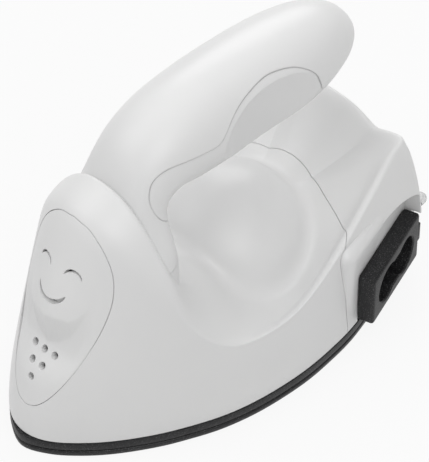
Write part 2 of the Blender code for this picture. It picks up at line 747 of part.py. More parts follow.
def thumb_scoop(name, side, grow):
    """A block with a concave upright face that takes the thumb's or a finger's hollow out of the grip."""
    middle = Vector((side * (SCOOP_REACH + SCOOP_RADIUS), along(SCOOP_PLACE_SHARE), 0))
    steps = 6
    outline = []
    for step in range(steps + 1):
        offset = lerp(-SCOOP_HALF_LENGTH, SCOOP_HALF_LENGTH, step / steps)
        depth = math.sqrt((SCOOP_RADIUS + grow) ** 2 - offset ** 2)
        outline.append(middle + Vector((-side * depth, offset, 0)))
    outline.append(middle + Vector((0, SCOOP_HALF_LENGTH, 0)))
    outline.append(middle - Vector((0, SCOOP_HALF_LENGTH, 0)))
    low = HANDLE_HEIGHT - HANDLE_HALF_WIDTH * 2
    return prism(name, outline, low, low + HANDLE_HALF_WIDTH * 4, cutters)


def make_handle():
    hollow = handle_form("handle_inside", cutters, grow=-HANDLE_WALL)
    upper = handle_form("handle_upper_shell", parts, white_plastic)
    boolean(upper, hollow)
    boolean(upper, lower_region("lower_region_cutter", GAP))
    boolean(upper, box("foot_bottom_cutter", (BODY_WIDTH, BODY_LENGTH, FOOT_BOTTOM * 2), cutters))
    lower = handle_form("handle_lower_shell", parts, white_plastic, recess=GRIP_RECESS)
    inside = handle_form("handle_inside_lower", cutters, grow=-HANDLE_WALL, recess=GRIP_RECESS)
    for side, name in ((1, "right"), (-1, "left")):
        boolean(inside, thumb_scoop(f"scoop_wall_{name}", side, SCOOP_WALL))
        boolean(lower, thumb_scoop(f"thumb_scoop_{name}", side, 0.0))
    boolean(lower, inside)
    boolean(lower, lower_region("lower_region_guide", 0.0), "INTERSECT")


# Face insert in the nose
def face_place(x, s, depth=0.0):
    """A place on the tilted face plane: x sideways, s up the plane, depth inwards."""
    middle = Vector((0, along(FACE_PLACE_SHARE), FACE_MIDDLE_HEIGHT))
    up = Vector((0, math.sin(FACE_TILT), math.cos(FACE_TILT)))
    inward = Vector((0, math.cos(FACE_TILT), -math.sin(FACE_TILT)))
    return middle + Vector((x, 0, 0)) + up * s + inward * depth, inward


def surface_of(target):
    bpy.context.view_layer.update()
    return BVHTree.FromObject(target, bpy.context.evaluated_depsgraph_get())


def face_point(surface, x, s):
    """The nose's surface in front of a place on the face plane."""
    start, inward = face_place(x, s, -INSERT_REACH)
    return surface.ray_cast(start, inward)[0]


def oval_prism(name, grow):
    """The insert's outline as a prism through the nose, grown on all sides."""
    half = smooth_route([Vector((x, s, 0)) for x, s in OVAL_SHARES], 2)
    outline = [*half, *[Vector((-p.x, p.y, 0)) for p in reversed(half[1:-1])]]
    bm = bmesh.new()
    rings = []
    for depth in (-INSERT_REACH, INSERT_REACH * 0.4):
        ring = []
        for p in outline:
            x = p.x * (INSERT_WIDTH / 2 + grow)
            s = p.y * (INSERT_HEIGHT / 2 + grow)
            ring.append(bm.verts.new(face_place(x, s, depth)[0]))
        rings.append(ring)
        bm.faces.new(ring)
    bmesh.ops.bridge_loops(bm, edges=[e for e in bm.edges if len(e.link_faces) == 1])
    return mesh_object(name, bm, cutters)


def groove(name, surface, x, s, radius, start, end):
    """A round groove along an arc on the nose's surface."""
    steps = 5
    route = []
    for step in range(steps + 1):
        turn = math.radians(lerp(start, end, step / steps))
        route.append(face_point(surface, x + radius * math.cos(turn), s + radius * math.sin(turn)))
    return guide(as_mesh(tube(name, route, ARC_RADIUS, cutters, white_plastic)))


def face_mask(name, surface):
    """The raised face of the insert as a half cage over the nose's surface, closed at its back."""
    bm = bmesh.new()
    inward = face_place(0.0, 0.0)[1]
    grid = []
    for s_share, width_share, rise_share in MASK_SHARES:
        front = []
        back = []
        for x_share, height_share in MASK_ACROSS_SHARES:
            place = face_point(surface, x_share * width_share * INSERT_WIDTH / 2, s_share * INSERT_HEIGHT / 2)
            lowest = min(rise_share, height_share)
            share = lowest if lowest < 0 else rise_share * height_share
            front.append(place - inward * MASK_RISE * share)
            back.append(place + inward * MASK_DEPTH)
        grid.append([bm.verts.new(p) for p in (*front, *reversed(back))])
    for here, there in zip(grid, grid[1:]):
        for column in range(len(here) - 1):
            bm.faces.new((here[column], here[column + 1], there[column + 1], there[column]))
    for row in (grid[0], grid[-1]):
        bm.faces.new(row)
    made = mesh_object(name, bm, cutters)
    mirror(made)
    subdivide(made)
    return made


def make_face_insert(surface):
    insert = hollow_hull("face_insert")
    boolean(insert, oval_prism("insert_guide", 0.0), "INTERSECT")
    boolean(insert, face_mask("face_mask", surface), "UNION")
    surface = surface_of(insert)
    boolean(insert, groove("eye_groove_right", surface, EYE_OFFSET, EYE_HEIGHT, EYE_RADIUS, 10, 170))
    boolean(insert, groove("eye_groove_left", surface, -EYE_OFFSET, EYE_HEIGHT, EYE_RADIUS, 10, 170))
    boolean(insert, groove("smile_groove", surface, 0.0, SMILE_HEIGHT, SMILE_RADIUS, 205, 335))
    for row in range(3):
        count = 3 - row
        for step in range(count):
            place, inward = face_place((step - (count - 1) / 2) * VENT_PITCH, VENT_TOP - row * VENT_ROW_PITCH)
            turned = inward.to_track_quat("Z", "Y").to_matrix().to_4x4()
            boolean(insert, cylinder(
                f"vent_{row + 1}_{step + 1}", VENT_RADIUS, INSERT_REACH * 2, cutters,
                place=Matrix.Translation(place) @ turned, sides=8))


# Inlet with its two pins
def inlet_core_size(grow):
    return INLET_LENGTH - GRIP_RECESS * 3 + grow * 2, INLET_HEIGHT - GRIP_RECESS * 2 + grow * 2


def make_inlet():
    front = box(
        "inlet_body", (INLET_PROUD - GAP, INLET_LENGTH, INLET_HEIGHT), parts, black_plastic,
        pad_place(0, (INLET_PROUD + GAP) / 2, INLET_MIDDLE_HEIGHT))
    bevel(front, INLET_ROUND)
    core = box(
        "inlet_core", (INLET_PROUD + INLET_DEPTH - GAP, *inlet_core_size(0)), cutters,
        place=pad_place(0, (INLET_PROUD - INLET_DEPTH - GAP * 3) / 2, INLET_MIDDLE_HEIGHT))
    boolean(front, core, "UNION")
    boolean(front, box(
        "socket_waist_cutter", (SOCKET_DEPTH * 2, PIN_PITCH, SOCKET_WAIST), cutters,
        place=pad_place(0, INLET_PROUD, INLET_MIDDLE_HEIGHT)))
    across = Matrix.Rotation(math.radians(90), 4, "Y")
    for side, name in ((1, "live"), (-1, "neutral")):
        place = pad_place(side * PIN_PITCH / 2, INLET_PROUD, INLET_MIDDLE_HEIGHT)
        boolean(front, cylinder(
            f"socket_{name}", SOCKET_RADIUS, SOCKET_DEPTH * 2, cutters, place=place @ across, sides=16))
        pin_middle = INLET_PROUD - PIN_SINK - PIN_LENGTH / 2
        place = pad_place(side * PIN_PITCH / 2, pin_middle, INLET_MIDDLE_HEIGHT)
        pin = cylinder(
            f"inlet_pin_{name}", PIN_RADIUS, PIN_LENGTH, parts, steel, place @ across, 12)
        bevel(pin, PIN_RADIUS / 3, 1)
        boolean(front, cylinder(
            f"pin_hole_{name}", PIN_RADIUS + GAP, PIN_LENGTH * 2, cutters, place=place @ across, sides=12))


def make_bumpers(surface):
    for side, name in ((1, "right"), (-1, "left")):
        start = plan_point(side * BUMPER_SHARE, BEHIND_SHARE, BUMPER_HEIGHT)
        wall, normal = surface.ray_cast(start, Vector((0, -1, 0)))[:2]
        place = Matrix.Translation(wall) @ normal.to_track_quat("Z", "Y").to_matrix().to_4x4()
        profile = (
            (0.0, BUMPER_LENGTH), (BUMPER_RADIUS * 0.7, BUMPER_LENGTH), (BUMPER_RADIUS, BUMPER_LENGTH * 0.7),
            (BUMPER_RADIUS, GAP), (BUMPER_RADIUS / 2, GAP), (BUMPER_RADIUS / 2, -SHELL_WALL * 1.5),
            (0.0, -SHELL_WALL * 1.5))
        revolve(f"heel_bumper_{name}", profile, parts, clear_rubber, place, 12)
        boolean(bpy.data.objects["rear_cover"], cylinder(
            f"bumper_hole_{name}", BUMPER_RADIUS / 2 + GAP, SHELL_WALL * 4, cutters, place=place, sides=12))


# Heater and its clamp
def sheet(name, bottom, thickness, finish, holes):
    made = prism(name, sole_outline(SHEET_SHARE), bottom, bottom + thickness, parts, finish)
    for index, (radius, shares) in enumerate(holes):
        boolean(made, tall(
            f"{name}_hole_{index + 1}", radius + GAP, bottom - OVERRUN, bottom + OVERRUN, cutters, shares=shares))


def make_heater():
    screw_holes = [(SCREW_RADIUS, shares) for shares in CLAMP_SCREW_SHARES]
    rivet_holes = [(RIVET_RADIUS, shares) for shares in RIVET_SHARES]
    sheet("heater_element", HEATER_BOTTOM, HEATER_THICKNESS, mica, screw_holes)
    sheet("insulating_sheet", INSULATION_BOTTOM, INSULATION_THICKNESS, mica, screw_holes + rivet_holes)
    sheet("clamp_plate", CLAMP_BOTTOM, CLAMP_THICKNESS, steel, screw_holes + rivet_holes)
    for index, shares in enumerate(RIVET_SHARES):
        tall(
            f"heater_rivet_{index + 1}", RIVET_RADIUS, INSULATION_BOTTOM, INSULATION_BOTTOM + RIVET_HEIGHT,
            parts, brass, shares)
    for index, shares in enumerate(CLAMP_SCREW_SHARES):
        screw(f"clamp_screw_{index + 1}", SCREW_RADIUS, INNER_FLOOR, FLANGE_THICKNESS + GAP * 2, shares)


def make_shell_screws():
    head = SKIRT_BOTTOM + SCREW_HEAD_HEIGHT
    tip = SHELL_BOTTOM + SKIRT_SCREW_REACH - GAP * 2
    for index, shares in enumerate(SKIRT_SCREW_SHARES):
        screw(f"skirt_screw_{index + 1}", SCREW_RADIUS, head, tip, shares, False)
    head = STUB_BOTTOM - GAP
    for index, shares in enumerate(HANDLE_SCREW_SHARES):
        screw(f"handle_screw_{index + 1}", SCREW_RADIUS, head, head + HANDLE_SCREW_REACH, shares, False)


# Thermostat: a stack with a bimetal blade that lifts a contact arm off a fixed contact
def stack_face():
    return along(STACK_PLACE_SHARE) - STACK_SIZE[1] / 2 - GAP


def blade(name, length, height, finish):
    """A flat spring with its origin at the stack, where it bends."""
    made = box(name, (BLADE_WIDTH, length, BLADE_THICKNESS), parts, finish)
    made.data.transform(Matrix.Translation((0, -length / 2, 0)))
    made.location = (0, stack_face(), height)
    return made


def add_stud(target, name, radius, height, back, down=False):
    """A round stud on a blade, at a distance in front of the stack."""
    sign = -1 if down else 1
    stud = cylinder(
        name, radius, height + BLADE_THICKNESS, cutters,
        place=Matrix.Translation((0, stack_face() - back, target.location.z + sign * height / 2)), sides=12)
    boolean(target, stud, "UNION")


def make_thermostat():
    stack_place = Matrix.Translation((0, along(STACK_PLACE_SHARE), INNER_FLOOR + STACK_SIZE[2] / 2))
    base = box("thermostat_base", STACK_SIZE, parts, ceramic, stack_place)
    bevel(base, EDGE_ROUND)
    fixed_length = BLADE_LENGTH * FIXED_LENGTH_SHARE
    contact_place = fixed_length - CONTACT_RADIUS * 2
    blade("bimetal_blade", BLADE_LENGTH, BIMETAL_HEIGHT, steel)
    fixed = blade("fixed_contact", fixed_length, FIXED_HEIGHT, brass)
    add_stud(fixed, "fixed_stud", CONTACT_RADIUS, CONTACT_HEIGHT, contact_place)
    arm = blade("contact_arm", BLADE_LENGTH, ARM_HEIGHT, brass)
    add_stud(arm, "arm_stud", CONTACT_RADIUS, CONTACT_HEIGHT, contact_place, down=True)
    low = BIMETAL_HEIGHT + BLADE_THICKNESS / 2 + GAP
    high = ARM_HEIGHT - BLADE_THICKNESS / 2 - GAP
    pin = cylinder(
        "push_pin", PUSH_PIN_RADIUS, high - low, parts, ceramic,
        Matrix.Translation((0, stack_face() - BLADE_LENGTH + PUSH_PIN_RADIUS * 2, (low + high) / 2)), 12)
    bevel(pin, PUSH_PIN_RADIUS / 4, 1)


# Fuse and wires
def make_fuse():
    height = INNER_FLOOR + FUSE_SLEEVE_RADIUS
    place = at(*FUSE_SHARES, height) @ Matrix.Rotation(math.radians(90), 4, "X")
    fuse = cylinder("thermal_fuse", FUSE_RADIUS, FUSE_LENGTH, parts, steel, place, 12)
    bevel(fuse, FUSE_RADIUS / 4, 1)
    sleeve = cylinder("fuse_sleeve", FUSE_SLEEVE_RADIUS, FUSE_SLEEVE_LENGTH, parts, ceramic, place, 16)
    boolean(sleeve, cylinder(
        "fuse_sleeve_bore", FUSE_RADIUS + GAP, FUSE_SLEEVE_LENGTH * 2, cutters, place=place, sides=12))


def make_wires():
    fuse = plan_point(*FUSE_SHARES, INNER_FLOOR + FUSE_SLEEVE_RADIUS)
    fuse_end = Vector((0, FUSE_LENGTH / 2 + GAP, 0))
    stack_back = Vector((0, along(STACK_PLACE_SHARE) + STACK_SIZE[1] / 2 + GAP, 0))
    pin_end = INLET_PROUD - PIN_SINK - PIN_LENGTH - GAP * 2
    live = pad_place(PIN_PITCH / 2, pin_end, INLET_MIDDLE_HEIGHT).translation
    neutral = pad_place(-PIN_PITCH / 2, pin_end, INLET_MIDDLE_HEIGHT).translation
    rivet_top = INSULATION_BOTTOM + RIVET_HEIGHT + GAP
    inward = Vector((-math.cos(INLET_TURN), -math.sin(INLET_TURN), 0)) * WIRE_RADIUS * 3
    backward = Vector((0, WIRE_RADIUS * 3, 0))
    up = Vector((0, 0, WIRE_RADIUS * 3))
    right, left = (plan_point(*shares, rivet_top) for shares in RIVET_SHARES)
    stack_right = stack_back + Vector((STACK_SIZE[0] / 4, 0, FIXED_HEIGHT))
    stack_left = stack_back + Vector((-STACK_SIZE[0] / 4, 0, ARM_HEIGHT))
    stack_corner = stack_back + Vector((-STACK_SIZE[0], 0, FIXED_HEIGHT))
    routes = {
        "live_wire": [live, live + inward, stack_right + backward, stack_right],
        "link_wire": [
            stack_left, stack_left + backward, stack_corner, fuse + fuse_end + backward * 2, fuse + fuse_end],
        "fuse_wire": [fuse - fuse_end, fuse - fuse_end - backward * 2, left + up, left],
        "neutral_wire": [neutral, neutral + inward, right + up * 2 + backward * 2, right + up, right],
    }
    for name, points in routes.items():
        tube(name, smooth_route(points, 3), WIRE_RADIUS, parts, wire_sleeve)


clear_scene()
parts = new_collection("mini_craft_iron", True)
cutters = new_collection("cutters", False)
white_plastic = material("white_plastic", WHITE, 0.35)
black_plastic = material("black_plastic", BLACK, 0.45)
sole_coating = material("sole_coating", COATING, 0.3)
steel = material("steel", STEEL, 0.35, 1.0)
brass = material("brass", BRASS, 0.3, 1.0)
clear_rubber = material("clear_rubber", CLEAR_RUBBER, 0.25)
mica = material("mica", MICA, 0.6)
ceramic = material("ceramic", CERAMIC, 0.5)
wire_sleeve = material("wire_sleeve", SLEEVE_WHITE, 0.5)

hull_surface = surface_of(hull_cage("hull_outside", cutters))
hull_cage("hull_inside", cutters, inset=SHELL_WALL)
below_shell = box("below_shell", (BODY_WIDTH * 2, BODY_LENGTH * 2, SHELL_BOTTOM * 4), cutters)
below_shell.location = (0, 0, -SHELL_BOTTOM)
make_soleplate()
make_skirt()
make_body_shell()
make_rear_cover()
make_handle()
make_face_insert(hull_surface)
make_inlet()
make_bumpers(hull_surface)
make_heater()
make_shell_screws()
make_thermostat()
make_fuse()
make_wires()
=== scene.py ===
import json
import math

import bmesh
import bpy
import numpy as np
from mathutils import Matrix, Vector
from mathutils.bvhtree import BVHTree


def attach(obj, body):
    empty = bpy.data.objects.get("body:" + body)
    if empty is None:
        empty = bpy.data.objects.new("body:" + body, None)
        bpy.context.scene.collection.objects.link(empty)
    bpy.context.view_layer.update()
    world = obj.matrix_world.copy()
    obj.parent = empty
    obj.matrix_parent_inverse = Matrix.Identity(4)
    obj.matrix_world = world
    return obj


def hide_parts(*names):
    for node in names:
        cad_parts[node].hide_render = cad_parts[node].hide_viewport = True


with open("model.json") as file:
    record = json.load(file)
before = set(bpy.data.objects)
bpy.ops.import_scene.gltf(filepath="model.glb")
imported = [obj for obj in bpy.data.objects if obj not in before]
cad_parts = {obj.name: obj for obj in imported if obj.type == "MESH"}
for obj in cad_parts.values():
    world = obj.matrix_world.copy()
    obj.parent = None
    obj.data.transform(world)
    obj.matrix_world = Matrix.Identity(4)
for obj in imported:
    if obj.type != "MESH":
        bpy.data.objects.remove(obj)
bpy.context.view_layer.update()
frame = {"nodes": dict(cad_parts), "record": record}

# sizes in metres that several mouldings share
iron = {
    "length": 0.0920,
    "width": 0.0570,
    "noseHeight": 0.0568,
    "wall": 0.0016,
    "shellBottom": 0.0042,
    "seam": 0.00010,  # slit between two mouldings
    "tightSeam": 0.00003,
    "fineness": 3,  # rounds of subdivision on the big mouldings
    "roundSides": 24,  # of holes and bosses
    "near": 0.00001,  # two places this close count as one
    "merge": 0.000002,
    "smoothAngle": 32,
}


def selectOnly(piece):
    bpy.ops.object.select_all(action="DESELECT")
    piece.select_set(True)
    bpy.context.view_layer.objects.active = piece


def namedPiece(name):
    piece = bpy.context.active_object
    piece.name = name
    piece.data.name = name
    return piece


def applyModifiers(piece):
    selectOnly(piece)
    for modifier in list(piece.modifiers):
        bpy.ops.object.modifier_apply(modifier=modifier.name)
    return piece


def removePiece(piece):
    bpy.data.objects.remove(piece, do_unlink=True)


def copyOf(piece, name):
    twin = piece.copy()
    twin.data = piece.data.copy()
    twin.name = name
    bpy.context.scene.collection.objects.link(twin)
    return twin


def joined(pieces, name):
    selectOnly(pieces[0])
    for piece in pieces:
        piece.select_set(True)
    bpy.ops.object.join()
    return namedPiece(name)


def placeMesh(piece, matrix):
    piece.data.transform(matrix)
    piece.data.update()
    return piece


def editAll(piece, action="SELECT"):
    selectOnly(piece)
    bpy.ops.object.mode_set(mode="EDIT")
    bpy.ops.mesh.select_all(action=action)


def tidyMesh(piece, merge=iron["merge"]):
    editAll(piece)
    bpy.ops.mesh.remove_doubles(threshold=merge)
    bpy.ops.mesh.normals_make_consistent(inside=False)
    bpy.ops.object.mode_set(mode="OBJECT")
    return piece


def setPlaces(piece, places):
    flat = np.array([tuple(p) for p in places], np.float32)
    piece.data.vertices.foreach_set("co", flat.ravel())
    piece.data.update()
    return piece


def extruded(piece, rise):
    editAll(piece)
    bpy.ops.mesh.extrude_region_move(TRANSFORM_OT_translate={"value": tuple(rise)})
    bpy.ops.object.mode_set(mode="OBJECT")
    return tidyMesh(piece)


def smoothShade(piece, degrees=iron["smoothAngle"]):
    selectOnly(piece)
    bpy.ops.object.shade_smooth_by_angle(angle=math.radians(degrees))
    return piece


def cut(piece, tool, how="DIFFERENCE", keepTool=False):
    modifier = piece.modifiers.new("cut", "BOOLEAN")
    modifier.operation = how
    modifier.solver = "EXACT"
    modifier.object = tool
    applyModifiers(piece)
    if not keepTool:
        removePiece(tool)
    return piece


def roundEdges(piece, width, segments=3, degrees=30):
    modifier = piece.modifiers.new("rounding", "BEVEL")
    modifier.width = width
    modifier.segments = segments
    modifier.limit_method = "ANGLE"
    modifier.angle_limit = math.radians(degrees)
    return applyModifiers(piece)


def along(share):
    return (share - 0.5) * iron["length"]


def planPoint(xShare, yShare, z=0.0):
    return Vector((xShare * iron["width"] / 2, along(yShare), z))


def mix(a, b, share):
    return a + (b - a) * share


def easeStep(low, high, value):
    share = np.clip((value - low) / (high - low), 0.0, 1.0)
    return share * share * (3 - 2 * share)


def flowing(points, steps):
    # a soft curve through given points
    ends = [points[0] * 2 - points[1], *points, points[-1] * 2 - points[-2]]
    route = []
    for a, b, c, d in zip(ends, ends[1:], ends[2:], ends[3:]):
        for step in range(steps):
            t = step / steps
            route.append(
                b + (c - a) * t / 2 + (a * 2 - b * 5 + c * 4 - d) * t ** 2 / 2
                + (b * 3 - a - c * 3 + d) * t ** 3 / 2)
    return [*route, points[-1]]


def otherSide(points):
    return [Vector((-p.x, p.y, 0)) for p in reversed(points)]


def sheetOfPoints(name, rows):
    # a grid primitive whose points are pulled to a table of places
    bpy.ops.mesh.primitive_grid_add(x_subdivisions=len(rows[0]) - 1, y_subdivisions=len(rows) - 1, size=1)
    return setPlaces(namedPiece(name), [p for row in rows for p in row])


def fillBetween(piece, indices):
    # select those points and make the face between them
    editAll(piece, "DESELECT")
    bpy.ops.mesh.select_mode(type="VERT")
    bpy.ops.object.mode_set(mode="OBJECT")
    for index in indices:
        piece.data.vertices[index].select = True
    bpy.ops.object.mode_set(mode="EDIT")
    bpy.ops.mesh.edge_face_add()
    bpy.ops.object.mode_set(mode="OBJECT")
    return piece


def prismPiece(name, outline, rise):
    # a filled outline, extruded
    bpy.ops.mesh.primitive_circle_add(vertices=len(outline), fill_type="NGON")
    return extruded(setPlaces(namedPiece(name), outline), rise)


def boxPiece(name, size, matrix):
    bpy.ops.mesh.primitive_cube_add(size=1)
    return placeMesh(namedPiece(name), matrix @ Matrix.Diagonal((*size, 1)))


def rodPiece(name, radius, low, high, matrix, sides=iron["roundSides"]):
    bpy.ops.mesh.primitive_cylinder_add(
        vertices=sides, radius=radius, depth=high - low, location=(0, 0, (low + high) / 2))
    piece = namedPiece(name)
    bpy.ops.object.transform_apply(location=True, rotation=False, scale=False)
    return placeMesh(piece, matrix)


def rodsAt(name, radius, low, high, shares):
    # upright rods at places in plan, joined
    return joined([rodPiece(name, radius, low, high, Matrix.Translation(planPoint(*place)))
                   for place in shares], name)


def domeProfile(radius, top, drop, steps):
    # from the top of the axis out to the full radius
    profile = [(0.0, top)]
    for step in range(1, steps + 1):
        angle = math.radians(90 - step * 90 / steps)
        profile.append((radius * math.cos(angle), top - drop * (1 - math.sin(angle))))
    return profile


def turnedPiece(name, profile, matrix, steps=48):
    # a profile of radius and height, spun round its axis
    bpy.ops.mesh.primitive_circle_add(vertices=len(profile), fill_type="NOTHING")
    piece = namedPiece(name)
    for vertex, (radius, height) in zip(piece.data.vertices, profile):
        vertex.co = (radius, 0, height)
    last = len(profile) - 1
    editAll(piece, "DESELECT")
    bpy.ops.mesh.select_mode(type="EDGE")
    bpy.ops.object.mode_set(mode="OBJECT")
    for edge in piece.data.edges:
        edge.select = set(edge.vertices) == {0, last}
    bpy.ops.object.mode_set(mode="EDIT")
    bpy.ops.mesh.delete(type="EDGE")
    bpy.ops.mesh.select_all(action="SELECT")
    bpy.ops.mesh.spin(steps=steps, angle=math.radians(360), center=(0, 0, 0), axis=(0, 0, 1))
    bpy.ops.object.mode_set(mode="OBJECT")
    tidyMesh(piece)
    return placeMesh(piece, matrix)


def dressed(piece, slotName, node, material=None, degrees=iron["smoothAngle"]):
    piece.data.materials.clear()
    piece.data.materials.append(material or materials[slotName])
    smoothShade(piece, degrees)
    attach(piece, "iron")
    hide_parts(node)


# shader maths as plain expressions
class Wire:
    def __init__(self, finish, socket):
        self.finish = finish
        self.socket = socket

    def __add__(self, other):
        return self.finish.maths("ADD", self, other)

    def __sub__(self, other):
        return self.finish.maths("SUBTRACT", self, other)

    def __mul__(self, other):
        return self.finish.maths("MULTIPLY", self, other)

    def __rsub__(self, other):
        return self.finish.maths("SUBTRACT", other, self)

    __radd__ = __add__
    __rmul__ = __mul__


class Finish:
    def __init__(self, name, look, **constants):
        self.look = look
        self.material = bpy.data.materials.new(name)
        self.material.use_nodes = True
        self.tree = self.material.node_tree
        self.shader = self.tree.nodes["Principled BSDF"]
        self.shader.inputs["Roughness"].default_value = look["roughness"]
        self.shader.inputs["Metallic"].default_value = look.get("metallic", 0.0)
        for socket, value in constants.items():
            self.shader.inputs[socket.replace("_", " ")].default_value = value
        self.coords = self.add("TexCoord", out="Object")

    def add(self, kind, settings=None, sockets=None, out=0):
        node = self.tree.nodes.new("ShaderNode" + kind)
        for key, value in (settings or {}).items():
            setattr(node, key, value)
        for key, value in (sockets or {}).items():
            if isinstance(value, Wire):
                self.tree.links.new(value.socket, node.inputs[key])
            else:
                node.inputs[key].default_value = value
        return Wire(self, node.outputs[out])

    def maths(self, operation, a, b):
        return self.add("Math", {"operation": operation}, {0: a, 1: b})

    def noise(self, pattern, detail=2.0, roughness=0.5, coords=None):
        return self.add("TexNoise", None, {
            "Vector": coords or self.coords, "Scale": self.look[pattern], "Detail": detail,
            "Roughness": roughness})

    def stretched(self, scale):
        return self.add("Mapping", None, {"Vector": self.coords, "Scale": scale})

    def band(self, value, low, high):
        return self.add("MapRange", {"interpolation_type": "SMOOTHSTEP"}, {
            "Value": value, "From Min": low, "From Max": high})

    def feed(self, **links):
        for socket, value in links.items():
            self.tree.links.new(value.socket, self.shader.inputs[socket.replace("_", " ")])

    def done(self, share, roughness, height, depth, strength, **links):
        # colour between the two tones, roughness and fine relief from the finish's own patterns
        first, second = self.look["tones"]
        tone = self.add("Mix", {"data_type": "RGBA"}, {0: share, 6: (*first, 1), 7: (*second, 1)}, out=2)
        sockets = {"Height": height, "Distance": depth, "Strength": strength}
        if "softEdge" in self.look:
            sockets["Normal"] = self.add("Bevel", {"samples": 6}, {"Radius": self.look["softEdge"]})
        bump = self.add("Bump", None, sockets)
        self.feed(Base_Color=tone, Roughness=roughness, Normal=bump, **links)
        return self.material


# for each finish: two tones, roughness where no pattern changes it, how round its edges look in metres,
# and how fine its patterns are in repeats to the metre
looks = {
    "white": {"tones": ((0.765, 0.765, 0.765), (0.785, 0.785, 0.782)), "roughness": 0.36,
              "softEdge": 0.00022, "cloud": 38.0, "grain": 2600.0},
    "black": {"tones": ((0.006, 0.006, 0.007), (0.115, 0.115, 0.117)), "roughness": 0.42,
              "softEdge": 0.00012, "grain": 3600.0, "specks": 4200.0, "wear": 160.0},
    "sole": {"tones": ((0.012, 0.012, 0.013), (0.22, 0.22, 0.23)), "roughness": 0.34,
             "softEdge": 0.00015, "flakes": 5200.0, "cloud": 90.0, "rubbing": 700.0},
    "steel": {"tones": ((0.56, 0.565, 0.57), (0.68, 0.68, 0.67)), "roughness": 0.34, "metallic": 1.0,
              "lines": 900.0, "spots": 240.0},
    "brass": {"tones": ((0.70, 0.53, 0.24), (0.46, 0.32, 0.13)), "roughness": 0.30, "metallic": 1.0,
              "spots": 300.0},
    "mica": {"tones": ((0.33, 0.27, 0.18), (0.62, 0.55, 0.42)), "roughness": 0.50,
             "flakes": 650.0, "cloud": 120.0},
    "ceramic": {"tones": ((0.78, 0.76, 0.70), (0.52, 0.48, 0.40)), "roughness": 0.55,
                "grain": 1800.0, "specks": 900.0},
    "sleeve": {"tones": ((0.52, 0.51, 0.46), (0.76, 0.75, 0.70)), "roughness": 0.60, "weave": 620.0},
    "rubber": {"tones": ((0.80, 0.81, 0.81), (0.92, 0.92, 0.92)), "roughness": 0.16, "haze": 500.0},
}
gripLook = {**looks["white"], "softEdge": 0.00045}


def whitePlastic(name, look):
    finish = Finish(name, look, Specular_IOR_Level=0.45)
    cloud, grain = finish.noise("cloud", 3.0), finish.noise("grain")
    rough = look["roughness"] - 0.04 + 0.05 * cloud + 0.03 * grain
    return finish.done(finish.band(cloud, 0.3, 0.7), rough, grain, 0.000004, 0.6)


def blackPlastic(name):
    finish = Finish(name, looks["black"], Specular_IOR_Level=0.32)
    grain, worn = finish.noise("grain", 3.0, 0.65), finish.noise("wear", 4.0)
    speck = finish.band(finish.noise("specks", 2.0, 0.7), 0.54, 0.70)
    return finish.done(speck * 0.75, 0.34 + 0.18 * worn + 0.10 * grain, grain, 0.00003, 0.7)


def soleCoating(name):
    finish = Finish(name, looks["sole"], Specular_IOR_Level=0.35)
    flake = finish.band(finish.noise("flakes", 1.0, 0.6), 0.62, 0.72)
    cloud = finish.noise("cloud", 4.0)
    # rubbed by cloth: long fine lines down the sole
    lines = finish.noise("rubbing", 3.0, 0.6, finish.stretched((1.0, 0.03, 1.0)))
    rubbed = finish.band(lines, 0.55, 0.8)
    rough = 0.30 + 0.16 * cloud - 0.08 * rubbed
    return finish.done(
        flake * 0.6 + rubbed * 0.12, rough, flake + 0.4 * cloud, 0.00001, 0.6, Metallic=0.5 * flake)


def steelFinish(name):
    finish = Finish(name, looks["steel"])
    lines = finish.noise("lines", 3.0, 0.6, finish.stretched((1.0, 0.08, 1.0)))
    spots = finish.noise("spots", 4.0)
    return finish.done(spots, 0.24 + 0.16 * lines + 0.08 * spots, lines, 0.000006, 0.5)


def brassFinish(name):
    finish = Finish(name, looks["brass"])
    spots = finish.noise("spots", 5.0, 0.6)
    return finish.done(finish.band(spots, 0.4, 0.75), 0.22 + 0.22 * spots, spots, 0.00001, 0.5)


def micaSheet(name):
    finish = Finish(name, looks["mica"])
    flakes = finish.add("TexVoronoi", {"feature": "F1"}, {
        "Vector": finish.stretched((1.0, 1.0, 4.0)), "Scale": finish.look["flakes"], "Randomness": 1.0},
        out="Color")
    level = finish.add("SeparateColor", None, {"Color": flakes})
    share = level * 0.6 + finish.noise("cloud", 4.0) * 0.3
    return finish.done(share, 0.35 + 0.3 * level, level, 0.00004, 0.6)


def ceramicFinish(name):
    finish = Finish(name, looks["ceramic"])
    grain = finish.noise("grain", 4.0, 0.6)
    return finish.done(
        finish.band(finish.noise("specks"), 0.68, 0.75), 0.5 + 0.2 * grain, grain, 0.00002, 0.6)


def braidedSleeve(name):
    finish = Finish(name, looks["sleeve"])
    weave = finish.maths("MAXIMUM", *[finish.add("TexWave", {"bands_direction": "DIAGONAL"}, {
        "Vector": coords, "Scale": finish.look["weave"], "Distortion": 0.4})
        for coords in (finish.coords, finish.stretched((-1.0, 1.0, 1.0)))])
    return finish.done(weave, 0.75 - 0.2 * weave, weave, 0.00008, 0.8)


def clearRubber(name):
    finish = Finish(name, looks["rubber"], Transmission_Weight=0.55, IOR=1.45)
    haze = finish.noise("haze", 3.0)
    return finish.done(haze, 0.10 + 0.16 * haze, haze, 0.00002, 0.4)


